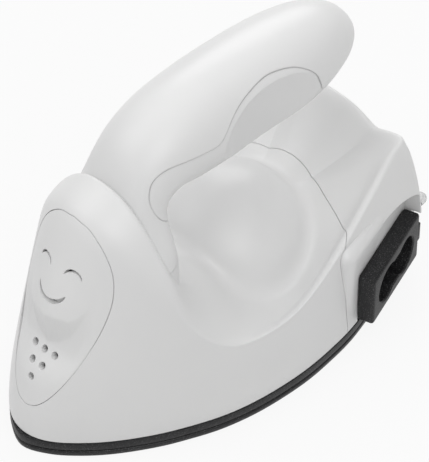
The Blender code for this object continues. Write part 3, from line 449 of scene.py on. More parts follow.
materials = {
    "white_plastic": whitePlastic("white plastic", looks["white"]),
    "black_plastic": blackPlastic("black plastic"),
    "sole_coating": soleCoating("sole coating"),
    "steel": steelFinish("zinc plated steel"),
    "brass": brassFinish("rolled brass"),
    "mica": micaSheet("mica sheet"),
    "ceramic": ceramicFinish("bare ceramic"),
    "wire_sleeve": braidedSleeve("braided sleeve"),
    "clear_rubber": clearRubber("clear rubber"),
}
gripPlastic = whitePlastic("white plastic grip", gripLook)
for part in frame["record"]["subparts"]:
    node = frame["nodes"][part["node"]]
    node.data.materials.clear()
    node.data.materials.append(materials[part["material_slot"]])
print("materials: done")


# the hull: stations from the middle of the nose round to the middle of the heel
hull = {
    # bottom edge x and y, rim x, y and z, foot of the mound, two drops of the ledge, in shares
    "stationShares": (
        (0.000, 0.007, 0.000, 0.257, 1.000, 0.475, 0.254, 0.102),
        (0.193, 0.025, 0.196, 0.260, 0.977, 0.475, 0.238, 0.097),
        (0.368, 0.071, 0.379, 0.265, 0.898, 0.467, 0.178, 0.070),
        (0.526, 0.128, 0.519, 0.270, 0.792, 0.440, 0.105, 0.030),
        (0.684, 0.203, 0.621, 0.275, 0.695, 0.405, 0.020, 0.010),
        (0.793, 0.270, 0.733, 0.293, 0.518, 0.361, -0.018, 0.000),
        (0.895, 0.348, 0.839, 0.363, 0.379, 0.335, 0.005, 0.005),
        (0.968, 0.446, 0.898, 0.443, 0.343, 0.320, 0.014, 0.016),
        (1.000, 0.565, 0.930, 0.549, 0.347, 0.317, 0.014, 0.016),
        (0.982, 0.663, 0.909, 0.641, 0.405, 0.326, 0.014, 0.016),
        (0.947, 0.739, 0.856, 0.732, 0.463, 0.352, 0.014, 0.014),
        (0.877, 0.826, 0.772, 0.826, 0.516, 0.384, 0.010, 0.008),
        (0.825, 0.913, 0.705, 0.908, 0.581, 0.412, 0.020, 0.012),
        (0.790, 0.985, 0.690, 0.950, 0.640, 0.430, 0.026, 0.018),
        (0.775, 1.018, 0.680, 0.985, 0.668, 0.444, 0.012, 0.018),
        (0.456, 1.010, 0.421, 0.976, 0.640, 0.456, 0.030, 0.036),
        (0.228, 1.010, 0.211, 0.976, 0.679, 0.463, 0.006, 0.028),
        (0.000, 1.010, 0.000, 0.976, 0.686, 0.467, 0.012, 0.033),
    ),
    "turnShares": (
        0.00, 0.07, 0.12, 0.18, 0.23, 0.29, 0.35, 0.42, 0.49,
        0.56, 0.62, 0.69, 0.75, 0.81, 0.87, 0.91, 0.955, 1.00),
    "wallHeightShares": (0.0, 0.22, 0.55, 0.86, 0.965, 1.0),
    "noseSetbackShares": (0.0, 0.090, 0.335, 0.60, 0.76, 1.0),
    "noseWeightShares": (1.0, 1.0, 0.9, 0.7, 0.4, 0.1),
    "leanPowers": {11: 1.4, 12: 2.0, 13: 2.5, 14: 2.5, 15: 2.5, 16: 2.5, 17: 2.5},
    "ledgeShares": (0.30, 0.72),
    "domeRingShares": (0.66, 0.28),
    "domeRadius": 0.0184,
    "domeHeight": 0.0162,
    "domePlaceShare": 0.627,
    "lipSize": 0.0018,
    "lipDrop": 0.0004,
    "overrun": 0.0100,
    "smallRows": (3, 4, 6),
    "ledgeRow": 7,
    "footSetback": 0.0025,
    "footStations": 4,
    "creaseStation": 15,
    "creaseRows": (5, 6, 7, 8, 9),
    "crease": 1.0,
    "holdShares": (1.0, 1.0, 0.8, 0.5),  # how exactly the lowest rows keep to the sole's outline
    "holdRounds": 4,
    "ballShares": (0.70, 0.97),  # a true ball up to the first, blended out by the second
    "ballReach": 0.0040,
    "moundColumn": 5,
    "steepest": 1.5,  # how far a corner of the inner wall may go in, in walls
    # seam between body and rear cover, from the middle outwards
    "seamShares": (
        (0.000, 0.842), (0.190, 0.836), (0.370, 0.818), (0.596, 0.793), (0.790, 0.758), (0.900, 0.722),
        (1.100, 0.712)),
    "seamSteps": 5,
    "behindShares": (1.1, 1.2),  # a place well behind the heel
    "bossRadius": 0.0026,
    "bossTop": 0.0105,
    "bossHole": 0.0015,
    "bossHoleSpan": (-0.0020, 0.0092),
    "bossShares": (
        (0.45, 0.17), (-0.45, 0.17), (0.84, 0.50), (-0.84, 0.50), (0.20, 0.975), (-0.70, 0.93)),
}
domeMiddle = Vector((0, along(hull["domePlaceShare"]), hull["domeHeight"]))


def footAngle(domeShare):
    return math.acos((domeShare * iron["noseHeight"] - domeMiddle.z) / hull["domeRadius"])


def onMound(outward, angle):
    return domeMiddle + hull["domeRadius"] * (outward * math.sin(angle) + Vector((0, 0, math.cos(angle))))


def stationPath(index):
    # from the bottom edge up the wall, over the rim and up the mound
    footX, footY, rimX, rimY, rimZ, domeZ, dropTop, dropLow = hull["stationShares"][index]
    weights = hull["noseWeightShares"]
    weight = weights[index] if index < len(weights) else 0.0
    bottom = planPoint(footX, footY, iron["shellBottom"])
    rim = planPoint(rimX, rimY, rimZ * iron["noseHeight"])
    path = []
    for height, setback in zip(hull["wallHeightShares"], hull["noseSetbackShares"]):
        lean = height ** hull["leanPowers"].get(index, 1.0)
        path.append(Vector((
            mix(bottom.x, rim.x, lean), mix(bottom.y, rim.y, mix(lean, setback, weight)),
            mix(bottom.z, rim.z, height))))
    turn = math.pi * hull["turnShares"][index]
    outward = Vector((math.sin(turn), -math.cos(turn), 0))
    lowest = footAngle(domeZ)
    foot = onMound(outward, lowest)
    inward = (foot - rim).to_2d().normalized().to_3d()
    path.append(rim + inward * hull["lipSize"] - Vector((0, 0, hull["lipDrop"])))
    for share, drop in zip(hull["ledgeShares"], (dropTop, dropLow)):
        path.append(rim.lerp(foot, share) - Vector((0, 0, drop * iron["noseHeight"])))
    return path + [onMound(outward, lowest * ring) for ring in (1.0, *hull["domeRingShares"])]


def mirrored(piece, rounds):
    modifier = piece.modifiers.new("other half", "MIRROR")
    modifier.use_clip = True
    modifier.merge_threshold = iron["near"]
    if rounds:
        modifier = piece.modifiers.new("soft form", "SUBSURF")
        modifier.levels = rounds
        modifier.render_levels = rounds
    applyModifiers(piece)
    return tidyMesh(piece, iron["merge"] / 2)


def heldOut(rows):
    # subdivision draws a form in, so the cage is moved out until its limit lies where it should
    cage = np.array([[tuple(p) for p in path] for path in rows])
    # weights of a point itself, of those beside it and of those across, after one round and in the limit
    oneRound, limit = (9 / 16, 3 / 32, 1 / 64), (4 / 9, 1 / 9, 1 / 36)

    def smoothed(own, edge, corner):
        first, last = cage[1] * (-1, 1, 1), cage[-2] * (-1, 1, 1)
        wide = np.concatenate([[first], cage, [last]])
        beside = wide[:-2] + wide[2:]
        inner = cage[:, 1:-1] * own + (cage[:, :-2] + cage[:, 2:] + beside[:, 1:-1]) * edge
        return inner + (beside[:, :-2] + beside[:, 2:]) * corner

    hold = np.zeros(cage.shape[1] - 2)
    hold[:len(hull["holdShares"])] = hull["holdShares"]
    target = mix(smoothed(*oneRound), cage[:, 1:-1], hold[None, :, None])
    for turn in range(hull["holdRounds"]):
        cage[:, 1:-1] += target - smoothed(*limit)
        cage[0, :, 0] = cage[-1, :, 0] = 0.0
        cage[:, 0, :2] = cage[:, 1, :2]
    return [[Vector(p) for p in path] for path in cage]


def hullForm(name, inset=0.0):
    rows = []
    for index in range(len(hull["stationShares"])):
        path = stationPath(index)
        if inset and index < hull["footStations"]:
            path[hull["ledgeRow"]].y += hull["footSetback"]
        path = [p for row, p in enumerate(path) if not inset or row not in hull["smallRows"]]
        path.insert(0, path[0] - Vector((0, 0, hull["overrun"] * (2 if inset else 1))))
        path.append(domeMiddle + Vector((0, 0, hull["domeRadius"])))
        rows.append(path)
    if not inset:
        rows = heldOut(rows)
    piece = sheetOfPoints(name, rows)
    wide = len(rows[0])
    if not inset:
        pairs = {
            frozenset((hull["creaseStation"] * wide + row, hull["creaseStation"] * wide + row + 1))
            for row in hull["creaseRows"]}
        sharp = piece.data.attributes.new("crease_edge", "FLOAT", "EDGE")
        for edge in piece.data.edges:
            if frozenset(edge.vertices) in pairs:
                sharp.data[edge.index].value = hull["crease"]
    fillBetween(piece, [row * wide for row in range(len(rows))])
    tidyMesh(piece)
    if inset:
        pullIn(piece, inset)
        return mirrored(piece, 0)
    mirrored(piece, iron["fineness"])
    return levelled(roundMound(piece))


def levelled(piece):
    # everything below the shell's bottom edge goes
    size = (iron["width"] * 2, iron["length"] * 2, hull["overrun"] * 4)
    place = Matrix.Translation((0, 0, iron["shellBottom"] - size[2] / 2))
    return cut(piece, boxPiece("below", size, place))


def pullIn(piece, inset):
    # the inner side of the wall: every point goes in along its own normal
    bm = bmesh.new()
    bm.from_mesh(piece.data)
    bm.normal_update()
    moves = []
    for vertex in bm.verts:
        normal = vertex.normal.copy()
        if abs(vertex.co.x) < iron["near"]:
            normal.x = 0.0
        moves.append(normal.normalized() * min(vertex.calc_shell_factor(), hull["steepest"]) * inset)
    lowest = min(vertex.co.z for vertex in bm.verts)
    for vertex, move in zip(bm.verts, moves):
        if vertex.co.z < lowest + iron["near"]:
            move.z = 0.0
        vertex.co -= move
    bm.to_mesh(piece.data)
    bm.free()


def roundMound(piece):
    # subdivision flattens the mound's pole a little, so its cap goes back on the sphere
    co = np.zeros(len(piece.data.vertices) * 3, np.float32)
    piece.data.vertices.foreach_get("co", co)
    co = co.reshape(-1, 3)
    offset = co - np.array(domeMiddle)
    distance = np.linalg.norm(offset, axis=1)
    angle = np.arccos(np.clip(offset[:, 2] / distance, -1, 1))
    turn = np.abs(np.arctan2(offset[:, 0], -offset[:, 1])) / math.pi
    feet = np.interp(turn, hull["turnShares"], [
        footAngle(row[hull["moundColumn"]]) for row in hull["stationShares"]])
    near = (np.abs(distance - hull["domeRadius"]) < hull["ballReach"]) & (offset[:, 2] > 0)
    share = np.where(near, 1 - easeStep(*hull["ballShares"], angle / feet), 0.0)
    ball = offset / distance[:, None] * hull["domeRadius"]
    co += (ball - offset) * share[:, None]
    return setPlaces(piece, co)


def rearRegion(name, shift):
    # everything behind the seam, seen from above
    half = flowing([planPoint(*shares) for shares in hull["seamShares"]], hull["seamSteps"])
    outline = [*half, planPoint(*hull["behindShares"])]
    outline += otherSide(outline[1:])
    low = -hull["overrun"]
    outline = [Vector((p.x, p.y - shift, low)) for p in outline]
    return prismPiece(name, outline, (0, 0, iron["noseHeight"] + hull["overrun"] * 2))


def addBosses(piece, chosen):
    shares = [hull["bossShares"][i] for i in chosen]
    cut(piece, rodsAt("bosses", hull["bossRadius"], iron["shellBottom"], hull["bossTop"], shares), "UNION")
    cut(piece, rodsAt("boss holes", hull["bossHole"], *hull["bossHoleSpan"], shares))


# the inlet's pad stands on the rear cover, turned out of the wall
inlet = {
    "length": 0.0227,
    "height": 0.0126,
    "proud": 0.0039,
    "depth": 0.0070,
    "middleHeight": 0.0109,
    "turn": math.radians(18.4),
    "placeShares": (0.7965, 0.8718),
    "corner": 0.0007,
    "coreInset": (0.00135, 0.0009),
    "gap": 0.0003,  # room round its core
    "rib": {"size": (0.0012, 0.0014, 0.0048), "sink": 0.0006, "rise": 0.0006, "corner": 0.0003},
    "pinRadius": 0.0012,
    "pinPitch": 0.0086,
    "pinLength": 0.0125,
    "pinSink": 0.0020,
    "pinSteps": 6,
    "pinDome": 0.8,
    "pinEdge": 0.0003,
    "pinRoom": 0.0001,
    "pinHoleReach": 0.0200,
    "pinSides": 32,
    "socketRadius": 0.0043,
    "waist": 0.0034,
    "socketDepth": 0.0090,
    "socketSteps": 26,
    "socketRun": 1.5,
    "chamfer": 0.00030,
    "chamferPast": 0.2,
    "chamferSlack": 0.00002,
    "padLength": 0.0244,
    "padShift": 0.0026,
    "padTop": 0.0252,
    "padThickness": 0.0060,
    "padRound": 0.0026,
    "cornerCut": {"size": (0.010, 0.020, 0.040), "along": 0.0205, "outward": 0.0017, "top": 0.0168},
    "innerCut": {"size": (0.010, 0.020, 0.080), "along": -0.0075, "outward": -0.0027},
    "backing": {"size": (0.0026, 0.0080, 0.0196), "along": 0.0082},  # closes the pocket at the heel
}
padTurn = Matrix.Rotation(inlet["turn"], 4, "Z")


def padPlace(alongWall, outward, z=inlet["middleHeight"]):
    place = Matrix.Translation((outward, alongWall, z))
    return Matrix.Translation(planPoint(*inlet["placeShares"])) @ padTurn @ place


def cornerCutter():
    # low down, the heel's corner stays behind the inlet's face
    corner = inlet["cornerCut"]
    return boxPiece("corner cut", corner["size"], padPlace(
        corner["along"], corner["outward"] + corner["size"][0] / 2, corner["top"] - corner["size"][2] / 2))


def padBlock(name, grow):
    pad = boxPiece(
        name, (inlet["padThickness"] + grow * 2, inlet["padLength"] + grow * 2, inlet["padTop"] + grow * 2),
        padPlace(-inlet["padShift"], -inlet["padThickness"] / 2, inlet["padTop"] / 2))
    roundEdges(pad, inlet["padRound"] + grow, 8)
    # in front of the seam nothing of it stands inside the hull
    inner = inlet["innerCut"]
    return cut(pad, boxPiece("pad inside", inner["size"], padPlace(
        inner["along"] - inner["size"][1] / 2, inner["outward"] - inner["size"][0] / 2, 0.0)))


# the handle: sections from the end of its foot to the tip
handle = {
    "height": 0.0580,
    "halfWidth": 0.0110,
    "wall": 0.0020,
    "recess": 0.00018,
    "swellShare": 1.045,
    "squareShare": 0.55,
    "points": 7,
    "columnSlopes": (50, 90),  # from here to there a section turns square, as in the foot
    # y and z of the centre, slope, half width, outer and inner reach, flare
    "sectionShares": (
        (0.322, 0.300, 90, 1.24, 0.40, 0.38, 0.10),
        (0.322, 0.500, 90, 1.25, 0.41, 0.38, 0.12),
        (0.321, 0.681, 90, 1.32, 0.41, 0.38, 0.12),
        (0.319, 0.776, 88, 1.08, 0.44, 0.39, 0.10),
        (0.328, 0.871, 74, 0.83, 0.56, 0.40, 0.03),
        (0.367, 0.953, 42, 0.87, 0.84, 0.60, 0.00),
        (0.435, 0.993, 10, 0.94, 0.96, 0.94, 0.00),
        (0.550, 1.000, 0, 0.99, 0.98, 0.98, 0.00),
        (0.700, 0.999, 0, 1.01, 0.95, 0.99, 0.00),
        (0.825, 0.993, 0, 0.95, 0.87, 0.96, 0.00),
        (0.895, 0.990, 0, 0.80, 0.78, 0.83, 0.00),
        (0.952, 0.986, 0, 0.60, 0.57, 0.63, 0.00),
        (0.988, 0.983, 0, 0.34, 0.31, 0.35, 0.00),
    ),
    # region of the lower shell, seen from the side
    "lowerShares": (
        (0.402, 0.784), (0.353, 0.819), (0.321, 0.871), (0.311, 0.940), (0.328, 1.000), (0.364, 1.028),
        (0.413, 1.028), (0.467, 1.022), (0.500, 1.026), (0.543, 1.081), (0.588, 1.112), (0.662, 1.128),
        (0.728, 1.109), (0.766, 1.076), (0.791, 1.034), (0.805, 0.979), (0.817, 0.941), (0.842, 0.936),
        (0.880, 0.945), (0.935, 0.953), (1.100, 0.953), (1.100, 0.680), (0.402, 0.680),
    ),
    "lowerSteps": 6,
    "footBottom": 0.0395,
    "stubBottom": 0.0260,
    "screwShares": ((0.24, 0.322), (-0.24, 0.322)),
    "screwHole": 0.0015,
    "screwHoleSpan": (0.016, 0.050),
    "cutSpan": (-0.010, 0.080),  # past its lowest and highest parts
    "scoopRadius": 0.0380,
    "scoopReach": 0.0067,
    "scoopPlaceShare": 0.663,
    "scoopHalfLength": 0.0190,
    "scoopSteps": 28,
    "scoopWall": 0.0014,
    "scoopLean": 0.12,
    "scoopSharp": 12,  # degrees; the scoop's edge stays crisp
}


def handleRing(row, grow, recess):
    y, z, slope, width, outer, inner, flare = row
    centre = Vector((0, along(y), z * handle["height"]))
    slope = math.radians(slope)
    normal = Vector((0, -math.sin(slope), math.cos(slope)))
    start, end = handle["columnSlopes"]
    column = max(0.0, (slope - math.radians(start)) / math.radians(end - start))
    power = 1.0 - handle["squareShare"] * column
    last = handle["points"] - 1
    size = handle["halfWidth"] * handle["swellShare"]
    ring = []
    for step in range(handle["points"]):
        angle = math.pi / 2 - math.pi * step / last
        across = math.copysign(abs(math.cos(angle)) ** power, math.cos(angle))
        up = math.copysign(abs(math.sin(angle)) ** power, math.sin(angle))
        if step in (0, last):
            across = 0.0
        reach = (outer if up > 0 else inner) * size + grow
        halfWidth = width * size * (1 + flare * up) + grow - recess * (1.0 - column)
        ring.append(centre + Vector((across * halfWidth, 0, 0)) + normal * up * reach)
    return ring


def handleForm(name, grow=0.0, recess=0.0):
    sections = handle["sectionShares"] if grow >= 0 else handle["sectionShares"][:-1]
    rows = [handleRing(row, grow, recess) for row in sections]
    piece = sheetOfPoints(name, rows)
    wide = len(rows[0])
    fillBetween(piece, range(wide))
    fillBetween(piece, range(wide * (len(rows) - 1), wide * len(rows)))
    tidyMesh(piece)
    return mirrored(piece, iron["fineness"] if grow >= 0 else 0)


def lowerRegion(name, grow):
    places = [Vector((0, along(y), z * handle["height"])) for y, z in handle["lowerShares"]]
    places = flowing(places, handle["lowerSteps"])
    outline = []
    for before, here, after in zip([places[-1], *places], places, [*places[1:], places[0]]):
        way = (after - before).normalized()
        outline.append(here + Vector((0, -way.z, way.y)) * grow - Vector((iron["width"] / 2, 0, 0)))
    return prismPiece(name, outline, (iron["width"], 0, 0))


def thumbScoop(name, side, grow):
    steps = handle["scoopSteps"]
    reach = handle["scoopReach"] + handle["scoopRadius"]
    middle = Vector((side * reach, along(handle["scoopPlaceShare"]), 0))
    low = Vector((0, 0, handle["height"] - handle["halfWidth"] * 2))
    half = handle["scoopHalfLength"]
    outline = []
    for step in range(steps + 1):
        offset = mix(-half, half, step / steps)
        depth = math.sqrt((handle["scoopRadius"] + grow) ** 2 - offset ** 2)
        outline.append(middle + low + Vector((-side * depth, offset, 0)))
    outline.append(middle + low + Vector((0, half, 0)))
    outline.append(middle + low - Vector((0, half, 0)))
    lean = side * handle["scoopLean"] * handle["halfWidth"]
    outline = [p - Vector((lean, 0, 0)) for p in outline]
    return prismPiece(name, outline, Vector((lean * 4, 0, handle["halfWidth"] * 4)))


def footBlock(name, low, high):
    size = (iron["width"], iron["length"] * 2, high - low)
    return boxPiece(name, size, Matrix.Translation((0, 0, (low + high) / 2)))


# the oval insert in the nose, on a plane tilted back with it
insert = {
    "width": 0.0224,
    "height": 0.0446,
    "thickness": 0.0016,
    "middleHeight": 0.0315,
    "placeShare": 0.109,
    "tilt": math.radians(16.0),
    "cell": 0.00020,
    "margin": 4,  # cells past the oval
    "rayStep": 3,  # the nose is measured at every third row and column
    "softness": 0.0007,
    "ovalShares": (
        (0.00, -0.96), (0.21, -0.92), (0.40, -0.81), (0.57, -0.64), (0.71, -0.44), (0.83, -0.21),
        (0.91, -0.02), (0.96, 0.17), (0.975, 0.35), (0.94, 0.52), (0.86, 0.66), (0.72, 0.79), (0.55, 0.89),
        (0.32, 0.97), (0.00, 1.00)),
    "ovalSteps": 8,
    "reach": 0.0200,
    "reachRun": 1.4,
    # the dish under the chin, and the shares of the oval over which it ends
    "dish": 0.0029, "dishHeight": -0.0070, "dishAcross": 0.0090, "dishUp": 0.0090, "dishDown": 0.0047,
    "dishEnd": (0.66, 0.97),
    # the chin's foot: distance from the middle, height up the face
    "footLine": ((0.0, -0.0072), (0.0026, -0.0058), (0.0052, -0.0029), (0.0066, 0.0009), (0.0075, 0.0039),
                 (0.0081, 0.0081), (0.0088, 0.0130)),
    "chinSlope": 0.46,
    "ridge": 0.07, "ridgeSoft": 0.0012,  # how steep and how soft the line down its middle is
    "chinSoft": 0.00018,
    "cheek": 0.00055, "cheekHalf": 0.0076, "cheekFall": 1.1, "cheekCurve": 0.5,
    "browDrop": 0.0011, "browSpan": (0.0040, 0.0200),
    # slots: place, radius, start and end in degrees, width
    "eye": {"x": 0.0037, "s": 0.0103, "radius": 0.0019, "turn": (15, 165), "width": 0.00062},
    "smile": {"x": 0.0, "s": 0.0078, "radius": 0.0038, "turn": (203, 337), "width": 0.00105},
    "slotSteps": 20, "slotTip": 0.12, "slotSwell": 0.7, "slotStart": 0.006,
    "ventRadius": 0.00076,
    "vents": ((-0.0089, 3), (-0.0117, 2), (-0.0147, 1)),
    "ventPitch": 0.00274,
    "slotDepth": 0.00160,
}
faceMiddle = Vector((0, along(insert["placeShare"]), insert["middleHeight"]))
faceUp = Vector((0, math.sin(insert["tilt"]), math.cos(insert["tilt"])))
faceIn = Vector((0, math.cos(insert["tilt"]), -math.sin(insert["tilt"])))


def facePlace(x, s, depth=0.0):
    return faceMiddle + Vector((x, 0, 0)) + faceUp * s + faceIn * depth


def ovalPrism(name, grow):
    half = flowing([Vector((x, s, 0)) for x, s in insert["ovalShares"]], insert["ovalSteps"])
    outline = [*half, *otherSide(half[1:-1])]
    across, upwards = insert["width"] / 2 + grow, insert["height"] / 2 + grow
    places = [facePlace(p.x * across, p.y * upwards, -insert["reach"]) for p in outline]
    return prismPiece(name, places, faceIn * insert["reach"] * insert["reachRun"])


def reliefHeight(x, s):
    # how far the insert stands out of the nose's own surface: dish, chin and cheeks
    u = np.abs(x)

    def dishAt(height, up):
        spread = (x / insert["dishAcross"]) ** 2
        return -insert["dish"] * np.exp(-spread - ((height - insert["dishHeight"]) / up) ** 2)

    radial = np.hypot(x / (insert["width"] / 2), s / (insert["height"] / 2))
    dish = dishAt(s, np.where(s > insert["dishHeight"], insert["dishUp"], insert["dishDown"]))
    dish = dish * (1 - easeStep(*insert["dishEnd"], radial))
    line = np.array(insert["footLine"])
    start = np.interp(u, line[:, 0], line[:, 1])
    chin = dishAt(start, insert["dishUp"]) + insert["chinSlope"] * (s - start)
    cheek = insert["cheek"] * (1 - insert["cheekCurve"] * (u / insert["cheekHalf"]) ** 2)
    cheek = cheek - insert["ridge"] * (np.hypot(x, insert["ridgeSoft"]) - insert["ridgeSoft"])
    cheek = cheek - insert["cheekFall"] * np.maximum(0, u - insert["cheekHalf"])
    cheek = cheek - insert["browDrop"] * easeStep(*insert["browSpan"], s)
    soft = insert["chinSoft"]
    mask = (chin + cheek - np.sqrt((chin - cheek) ** 2 + soft ** 2)) / 2
    return (mask + dish + np.sqrt((mask - dish) ** 2 + soft ** 2)) / 2


def blurred(field, cells):
    steps = int(cells * 3)  # past three spreads the weights are next to nothing
    weights = np.exp(-0.5 * (np.arange(-steps, steps + 1) / cells) ** 2)
    weights /= weights.sum()
    for axis in (0, 1):
        padded = np.pad(field, [(steps, steps) if a == axis else (0, 0) for a in (0, 1)], mode="reflect",
                        reflect_type="odd")
        field = np.apply_along_axis(lambda line: np.convolve(line, weights, mode="valid"), axis, padded)
    return field


def slotTool(name, slot, side, depth):
    # a crescent: its outline in front of the face, pushed in
    steps = insert["slotSteps"]
    x, s, radius = side * slot["x"], slot["s"], slot["radius"]
    outer, inner = [], []
    for step in range(steps + 1):
        share = step / steps
        turn = math.radians(mix(*slot["turn"], share))
        swell = math.sin(math.pi * share) ** insert["slotSwell"]
        half = slot["width"] / 2 * (insert["slotTip"] + (1 - insert["slotTip"]) * swell)
        for way, rim in ((1, outer), (-1, inner)):
            r = radius + way * half
            rim.append(facePlace(x + r * math.cos(turn), s + r * math.sin(turn), -insert["slotStart"]))
    return prismPiece(name, [*outer, *reversed(inner)], faceIn * (insert["slotStart"] + depth))


def makeInsert(hullTree):
    cell = insert["cell"]
    across = int(insert["width"] / cell) // 2 + insert["margin"]
    upwards = int(insert["height"] / cell) // 2 + insert["margin"]
    xs = np.arange(-across, across + 1) * cell
    ss = np.arange(-upwards, upwards + 1) * cell
    coarse = insert["rayStep"]
    depth = np.zeros((len(ss), len(xs)))
    for i, s in enumerate(ss):
        for j, x in enumerate(xs):
            if i % coarse and j % coarse:
                continue
            hit = hullTree.ray_cast(facePlace(x, s, -insert["reach"]), faceIn)
            depth[i, j] = hit[3] - insert["reach"] if hit[3] is not None else np.nan
    for i in range(len(ss)):
        if i % coarse:
            known = np.arange(0, len(xs), coarse)
            depth[i] = np.interp(np.arange(len(xs)), known, depth[i, known])
    depth = np.where(np.isnan(depth), np.nanmax(depth), depth)
    depth = blurred(depth, insert["softness"] / cell)
    grid = np.meshgrid(xs, ss)
    outer = depth - reliefHeight(*grid)
    rows = [[facePlace(x, s, outer[i, j]) for j, x in enumerate(xs)] for i, s in enumerate(ss)]
    piece = extruded(sheetOfPoints("faceInsert", rows), faceIn * insert["thickness"])
    cut(piece, ovalPrism("oval", 0.0), "INTERSECT")
    surface = BVHTree.FromObject(piece, bpy.context.evaluated_depsgraph_get())

    tools = []
    for name, side, bulge in (("eye", -1, 1), ("eye", 1, 1), ("smile", 1, -1)):
        # each slot's depth is taken where its arc is farthest out
        slot = insert[name]
        place = facePlace(side * slot["x"], slot["s"] + bulge * slot["radius"], -insert["reach"])
        depth = surface.ray_cast(place, faceIn)[3] - insert["reach"]
        tools.append(slotTool(name, slot, side, depth + insert["slotDepth"]))
    turned = faceIn.to_track_quat("Z", "Y").to_matrix().to_4x4()
    for s, count in insert["vents"]:
        for step in range(count):
            place = Matrix.Translation(facePlace((step - (count - 1) / 2) * insert["ventPitch"], s)) @ turned
            tools.append(rodPiece("vent", insert["ventRadius"], -insert["reach"], insert["reach"], place))
    return cut(piece, joined(tools, "small cuts"))


outside = hullForm("hull outside")
inside = hullForm("hull inside", iron["wall"])
hullTree = BVHTree.FromObject(outside, bpy.context.evaluated_depsgraph_get())
print("hull forms: done")

bodyShell = cut(copyOf(outside, "bodyShell"), inside, keepTool=True)
rearCover = copyOf(bodyShell, "rearCover")
cut(bodyShell, rearRegion("rear side", iron["seam"]))
cut(bodyShell, padBlock("pad room", iron["seam"]))
stub = handleForm("stub")
cut(stub, footBlock("stub low", handle["cutSpan"][0], handle["stubBottom"]))
cut(stub, footBlock("stub high", handle["footBottom"] - iron["seam"] / 2, handle["cutSpan"][1]))
cut(bodyShell, stub, "UNION")
seat = handleForm("seat", iron["seam"])
cut(seat, footBlock("seat low", handle["cutSpan"][0], handle["footBottom"] - iron["seam"] / 2))
cut(bodyShell, seat)
cut(bodyShell, ovalPrism("oval room", iron["seam"]))
cut(bodyShell, rodsAt("stub holes", handle["screwHole"], *handle["screwHoleSpan"], handle["screwShares"]))
addBosses(bodyShell, range(4))
dressed(bodyShell, "white_plastic", "body_shell")
print("body shell: done")

cut(rearCover, rearRegion("rear keep", 0.0), "INTERSECT")
cut(rearCover, levelled(padBlock("pad", 0.0)), "UNION")
backing = inlet["backing"]
cut(rearCover, boxPiece("pad backing", backing["size"], padPlace(
    backing["along"], -backing["size"][0] / 2, iron["shellBottom"] + backing["size"][2] / 2)), "UNION")
front = boxPiece(
    "pad front", (inlet["padThickness"], inlet["length"] + inlet["gap"] * 2, inlet["padTop"]),
    padPlace(0, inlet["padThickness"] / 2, inlet["padTop"] / 2 - inlet["padRound"]))
cut(rearCover, roundEdges(front, inlet["padRound"] / 2, 6))
coreSize = (inlet["length"] - inlet["coreInset"][0] * 2, inlet["height"] - inlet["coreInset"][1] * 2)
cut(rearCover, boxPiece(
    "inlet hole", (inlet["padThickness"] * 4, coreSize[0] + inlet["gap"] * 2, coreSize[1] + inlet["gap"] * 2),
    padPlace(0, -inlet["padThickness"])))
cut(rearCover, cornerCutter())
addBosses(rearCover, range(4, 6))

# clear bumpers on the heel, pressed into holes of the rear cover
bumper = {
    "share": 0.73, "height": 0.0185, "radius": 0.0014, "length": 0.0024, "steps": 7,
    "edge": 0.0003, "foot": 0.00008, "footShare": 0.9,
    "stem": 0.0007, "stemLength": 0.0005, "holeRoom": 0.0001, "holeSpan": (-0.0006, 0.0040),
}
bumperProfile = domeProfile(bumper["radius"], bumper["length"], bumper["radius"], bumper["steps"]) + [
    (bumper["radius"], bumper["edge"]), (bumper["radius"] * bumper["footShare"], bumper["foot"]),
    (bumper["stem"], bumper["foot"]), (bumper["stem"], -bumper["stemLength"]), (0.0, -bumper["stemLength"])]
for side, name in ((1, "right"), (-1, "left")):
    behind = planPoint(side * bumper["share"], hull["behindShares"][1], bumper["height"])
    hit, normal = hullTree.ray_cast(behind, Vector((0, -1, 0)))[:2]
    place = Matrix.Translation(hit) @ normal.to_track_quat("Z", "Y").to_matrix().to_4x4()
    cut(rearCover, rodPiece("bumper hole", bumper["stem"] + bumper["holeRoom"], *bumper["holeSpan"], place))
    dressed(turnedPiece(f"{name}Bumper", bumperProfile, place), "clear_rubber", f"heel_bumper_{name}")
dressed(rearCover, "white_plastic", "rear_cover")
print("rear cover and bumpers: done")

upper = handleForm("handleUpper")
cut(upper, handleForm("handle hollow", -handle["wall"]))
cut(upper, lowerRegion("upper cut", iron["tightSeam"]))
cut(upper, footBlock("foot cut", handle["cutSpan"][0], handle["footBottom"]))
dressed(upper, "white_plastic", "handle_upper_shell", gripPlastic)
lower = handleForm("handleLower", 0.0, handle["recess"])
hollow = handleForm("lower hollow", -handle["wall"], handle["recess"])
for side in (1, -1):
    cut(hollow, thumbScoop("scoop wall", side, handle["scoopWall"]))
    cut(lower, thumbScoop("scoop", side, 0.0))
cut(lower, hollow)
cut(lower, lowerRegion("lower keep", 0.0), "INTERSECT")
dressed(lower, "white_plastic", "handle_lower_shell", gripPlastic, handle["scoopSharp"])
print("handle: done")

faceInsert = makeInsert(hullTree)
dressed(faceInsert, "white_plastic", "face_insert")
print("face insert: done")


# the inlet: a flange with a figure-8 recess, and a latch rib on its heel end
def figureEight(grow, depthPlace):
    radius = inlet["socketRadius"] + grow
    waist = inlet["waist"] + grow
    half = inlet["pinPitch"] / 2
    opening = math.asin(waist / radius)
    outline = []
    steps = inlet["socketSteps"]
    for side, start in ((1, 0.0), (-1, math.pi)):
        for step in range(steps + 1):
            turn = mix(-(math.pi - opening), math.pi - opening, step / steps) + start
            outline.append((side * half + radius * math.cos(turn), radius * math.sin(turn)))
    return [padPlace(t, depthPlace, inlet["middleHeight"] + z).translation for t, z in outline]


